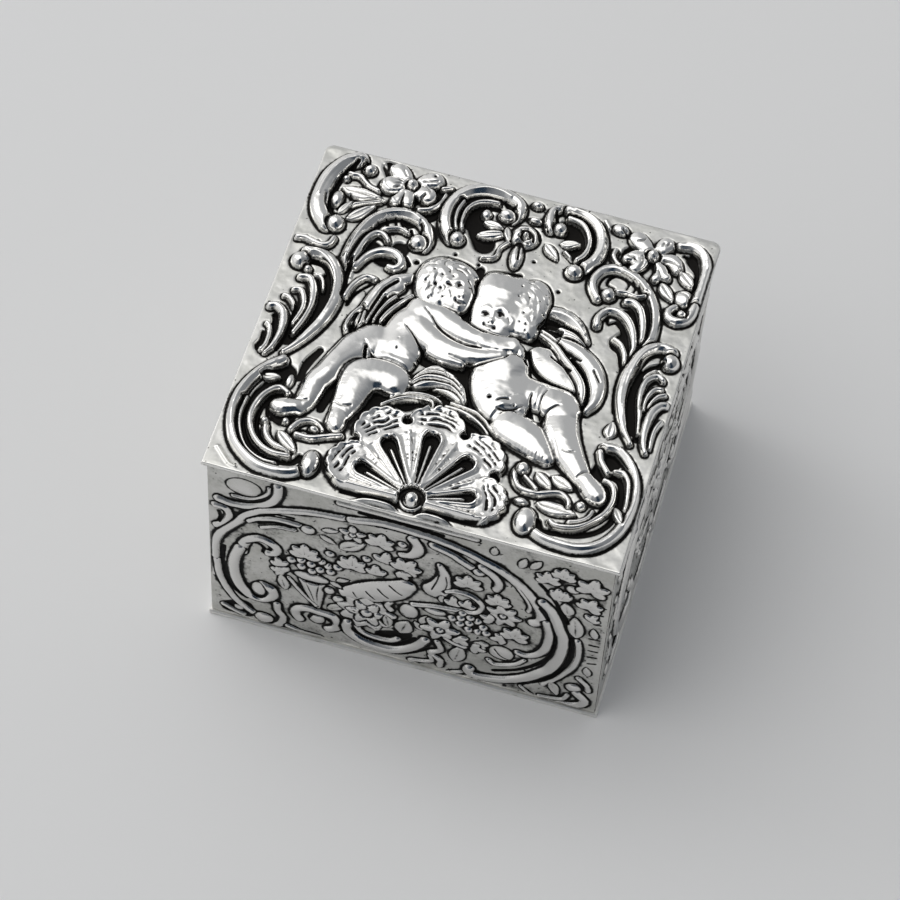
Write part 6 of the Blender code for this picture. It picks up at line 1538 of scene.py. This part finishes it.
def silver(name, chased, tarnish, roughness, shade=1.0):
    """Silver, polished on the high parts, with black oxide in its recesses and fine scratches; a shade
    below 1 darkens it all as painted shade.
    """
    material = bpy.data.materials.new(name)
    material.use_nodes = True
    nodes = Nodes(material.node_tree)
    shader = material.node_tree.nodes["Principled BSDF"]
    place = nodes.stretched((1.0, 1.0, 1.0))
    clouds = nodes.noise(place, CLOUDS_PER_METRE, 4.0)
    grain = nodes.noise(place, GRAINS_PER_METRE, 3.0, 0.6)
    scratches = nodes.noise(nodes.stretched(SCRATCH_STRETCH), SCRATCHES_PER_METRE, 2.0)
    if chased:
        worn = nodes.add("ShaderNodeAttribute", attribute_name="patina").outputs["Fac"]
        polish = nodes.add("ShaderNodeAttribute", attribute_name="polish").outputs["Fac"]
        speckle = nodes.times(nodes.math("SUBTRACT", grain, 0.5), 0.55)
        dark = nodes.fit(nodes.plus(worn, speckle), 0.22, 0.72, 0.0, 1.0)
        low = nodes.math("SUBTRACT", 1.0, polish)
    else:
        dark = nodes.fit(nodes.plus(clouds, nodes.times(grain, 0.2)), 0.62, 0.95, 0.0, 0.3)
        low = clouds
    veil = nodes.fit(nodes.plus(clouds, nodes.times(grain, 0.4)), 0.45, 0.95, 0.35, 1.0)
    veil = nodes.times(veil, nodes.times(low, tarnish))
    # A shade below 1 darkens the silver, tarnish and oxide colours as painted shade for the upright walls
    metal = nodes.mix(veil, dimmed(SILVER, shade), dimmed(TARNISH, shade))
    nodes.feed(shader.inputs["Base Color"], nodes.mix(dark, metal, dimmed(OXIDE, shade**4)))
    rough = nodes.fit(clouds, 0.3, 0.75, roughness * 0.85, roughness * 1.3)
    rough = nodes.plus(nodes.plus(rough, nodes.times(low, 0.2)), nodes.times(dark, 0.25))
    nodes.feed(shader.inputs["Roughness"], rough)
    shader.inputs["Specular IOR Level"].default_value = OXIDE_GLOSS
    nodes.feed(shader.inputs["Metallic"], nodes.math("SUBTRACT", 1.0, nodes.times(dark, 0.35)))
    dents = nodes.add("ShaderNodeBump")
    dents.inputs["Strength"].default_value = DENT_STRENGTH
    dents.inputs["Distance"].default_value = DENT_DEPTH
    fine = nodes.times(nodes.noise(place, POLISH_MARKS_PER_METRE, 1.0), nodes.times(low, 0.6))
    height = nodes.plus(nodes.noise(place, DENTS_PER_METRE, 2.0), nodes.times(scratches, 0.3))
    nodes.feed(dents.inputs["Height"], nodes.plus(height, fine))
    nodes.feed(shader.inputs["Normal"], dents.outputs["Normal"])
    return material


def add_chased_pieces():
    """The lid's cover and the four walls, each in place of its plain solid."""
    metal = silver("chased_silver", chased=True, tarnish=0.75, roughness=0.13)
    # The walls take a darker copy of the silver: painted shade for their upright faces
    walls_painted_shade_metal = silver("chased_silver_walls_painted_shade", chased=True, tarnish=0.9, roughness=0.15, shade=WALL_PAINTED_SHADE)
    lid_low, lid_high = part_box("lid_cover")
    lid_thickness = lid_high[2] - lid_low[2] - LID_RELIEF
    cover = sheet_piece("lid_cover_chased", lid_sheet(), Matrix.Translation((0.0, 0.0, lid_low[2])),
                        lid_thickness, 0.0, LID_CORNER_RADIUS, LID_EDGE, metal)
    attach(cover, "lid")
    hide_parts("lid_cover")
    for name, turn in WALL_TURNS.items():
        low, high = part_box(name)
        middle_z = (low[2] + high[2]) / 2.0
        inner = {"front_wall": -high[1], "right_wall": low[0],
                 "back_wall": low[1], "left_wall": -high[0]}[name]
        place = (Matrix.Rotation(turn, 4, "Z") @ Matrix.Translation((0.0, -inner, middle_z))
                 @ Matrix.Rotation(pi / 2.0, 4, "X"))
        wall = sheet_piece(name + "_chased", wall_sheet(name), place, WALL_THICKNESS,
                           WALL_THICKNESS, 0.0, WALL_EDGE, walls_painted_shade_metal)
        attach(wall, "box")
        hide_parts(name)
        if name == "back_wall":
            notch_for_hinge(wall, low, high)


def notch_for_hinge(wall, low, high):
    """Opens the back wall's top edge for the hinge, as its solid has it."""
    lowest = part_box("hinge_bearer")[1][2]
    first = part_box("hinge_knuckle_body_1")[0][0] - HINGE_CLEARANCE
    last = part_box("hinge_knuckle_body_3")[1][0] + HINGE_CLEARANCE
    reach = high[1] - low[1]
    size = Vector((last - first, 4.0 * reach, 2.0 * (high[2] - lowest)))
    center = Vector(((first + last) / 2.0, (low[1] + high[1]) / 2.0, lowest + size.z / 2.0))
    corners = [center + Vector((size.x * a, size.y * b, size.z * c)) / 2.0
               for a in (-1, 1) for b in (-1, 1) for c in (-1, 1)]
    mesh = bpy.data.meshes.new("hinge_notch")
    sides = [(0, 1, 3, 2), (4, 6, 7, 5), (0, 4, 5, 1), (2, 3, 7, 6), (0, 2, 6, 4), (1, 5, 7, 3)]
    mesh.from_pydata(corners, [], sides)
    cutter = bpy.data.objects.new("hinge_notch", mesh)
    bpy.context.collection.objects.link(cutter)
    modifier = wall.modifiers.new("Notch", "BOOLEAN")
    modifier.object = cutter
    modifier.operation = "DIFFERENCE"
    modifier.solver = "EXACT"
    evaluated = wall.evaluated_get(bpy.context.evaluated_depsgraph_get())
    cut_mesh = bpy.data.meshes.new_from_object(evaluated)
    wall.modifiers.clear()
    wall.data = cut_mesh
    bpy.data.objects.remove(cutter, do_unlink=True)


def dress_plain_nodes():
    """The flat sheets, rims and hinge keep their solids and get a plain silver finish."""
    plain = silver("plain_silver", chased=False, tarnish=0.5, roughness=0.26)
    tube = silver("hinge_silver", chased=False, tarnish=0.7, roughness=0.22)
    for name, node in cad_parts.items():
        if name == "lid_cover" or name in WALL_TURNS:
            continue
        metal = tube if name.startswith("hinge_knuckle") or name == "hinge_pin" else plain
        node.data.materials.clear()
        node.data.materials.append(metal)


def add_stage():
    """A wide pale floor."""
    mesh = bpy.data.meshes.new("floor")
    half = FLOOR_SIZE / 2.0
    corners = [(-half, -half, 0.0), (half, -half, 0.0), (half, half, 0.0), (-half, half, 0.0)]
    mesh.from_pydata(corners, [], [(0, 1, 2, 3)])
    floor = bpy.data.objects.new("floor", mesh)
    bpy.context.collection.objects.link(floor)
    material = bpy.data.materials.new("paper")
    material.use_nodes = True
    shader = material.node_tree.nodes["Principled BSDF"]
    shader.inputs["Base Color"].default_value = PAPER
    shader.inputs["Roughness"].default_value = PAPER_ROUGHNESS
    mesh.materials.append(material)


def add_light(name, place, size, power, aim):
    """A square soft lamp that faces a point."""
    lamp = bpy.data.lights.new(name, "AREA")
    lamp.shape = "SQUARE"
    lamp.size = size
    lamp.energy = power
    item = bpy.data.objects.new(name, lamp)
    bpy.context.collection.objects.link(item)
    item.location = place
    item.rotation_euler = (Vector(aim) - Vector(place)).to_track_quat("-Z", "Y").to_euler()


def add_world():
    """The studio: a pale room, bright overhead and to the left, dark to the right and in front."""
    world = bpy.data.worlds.new("studio")
    bpy.context.scene.world = world
    world.use_nodes = True
    nodes = Nodes(world.node_tree)
    background = world.node_tree.nodes["Background"]
    direction = nodes.add("ShaderNodeTexCoord").outputs["Generated"]
    level = SKY_LEVEL
    for axis, outer, inner, gain in SKY_LOBES:
        dot = nodes.add("ShaderNodeVectorMath", operation="DOT_PRODUCT")
        nodes.feed(dot.inputs[0], direction)
        dot.inputs[1].default_value = Vector(axis).normalized()
        glow = nodes.fit(dot.outputs["Value"], cos(radians(outer)), cos(radians(inner)), 0.0, gain)
        level = nodes.plus(glow, level)
    share = nodes.math("DIVIDE", nodes.math("MAXIMUM", level, 0.0), SKY_TOP)
    nodes.feed(background.inputs["Color"], nodes.mix(share, NIGHT, DAY))
    background.inputs["Strength"].default_value = SKY_TOP


def add_camera():
    """The photograph's view: its angles, distance and lens, fitted to the lid's and front's corners."""
    low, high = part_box("lid_cover")
    width = high[0] - low[0]
    azimuth, elevation, roll = (radians(value) for value in (VIEW_AZIMUTH, VIEW_ELEVATION, VIEW_ROLL))
    back = Vector((sin(azimuth) * cos(elevation), -cos(azimuth) * cos(elevation), sin(elevation)))
    right = Vector((0.0, 0.0, 1.0)).cross(back).normalized()
    up = back.cross(right)
    across = right * cos(roll) + up * sin(roll)
    upward = up * cos(roll) - right * sin(roll)
    target = Vector((VIEW_TARGET[0] * width, VIEW_TARGET[1] * width, (high[2] - LID_RELIEF) / 2.0))
    camera = bpy.data.cameras.new("camera")
    camera.lens = VIEW_LENS
    camera.sensor_width = VIEW_SENSOR
    camera.clip_start = 1.0 * MM
    item = bpy.data.objects.new("camera", camera)
    bpy.context.collection.objects.link(item)
    item.matrix_world = Matrix((
        (across.x, upward.x, back.x, target.x + back.x * VIEW_DISTANCE * width),
        (across.y, upward.y, back.y, target.y + back.y * VIEW_DISTANCE * width),
        (across.z, upward.z, back.z, target.z + back.z * VIEW_DISTANCE * width),
        (0.0, 0.0, 0.0, 1.0)))
    bpy.context.scene.camera = item


def main():
    """Dresses the frame and sets up the view."""
    add_camera()
    add_stage()
    add_world()
    add_light("window", WINDOW_PLACE, WINDOW_SIZE, WINDOW_POWER, WINDOW_AIM)
    dress_plain_nodes()
    add_chased_pieces()
    bpy.context.scene.view_settings.view_transform = "Standard"


main()
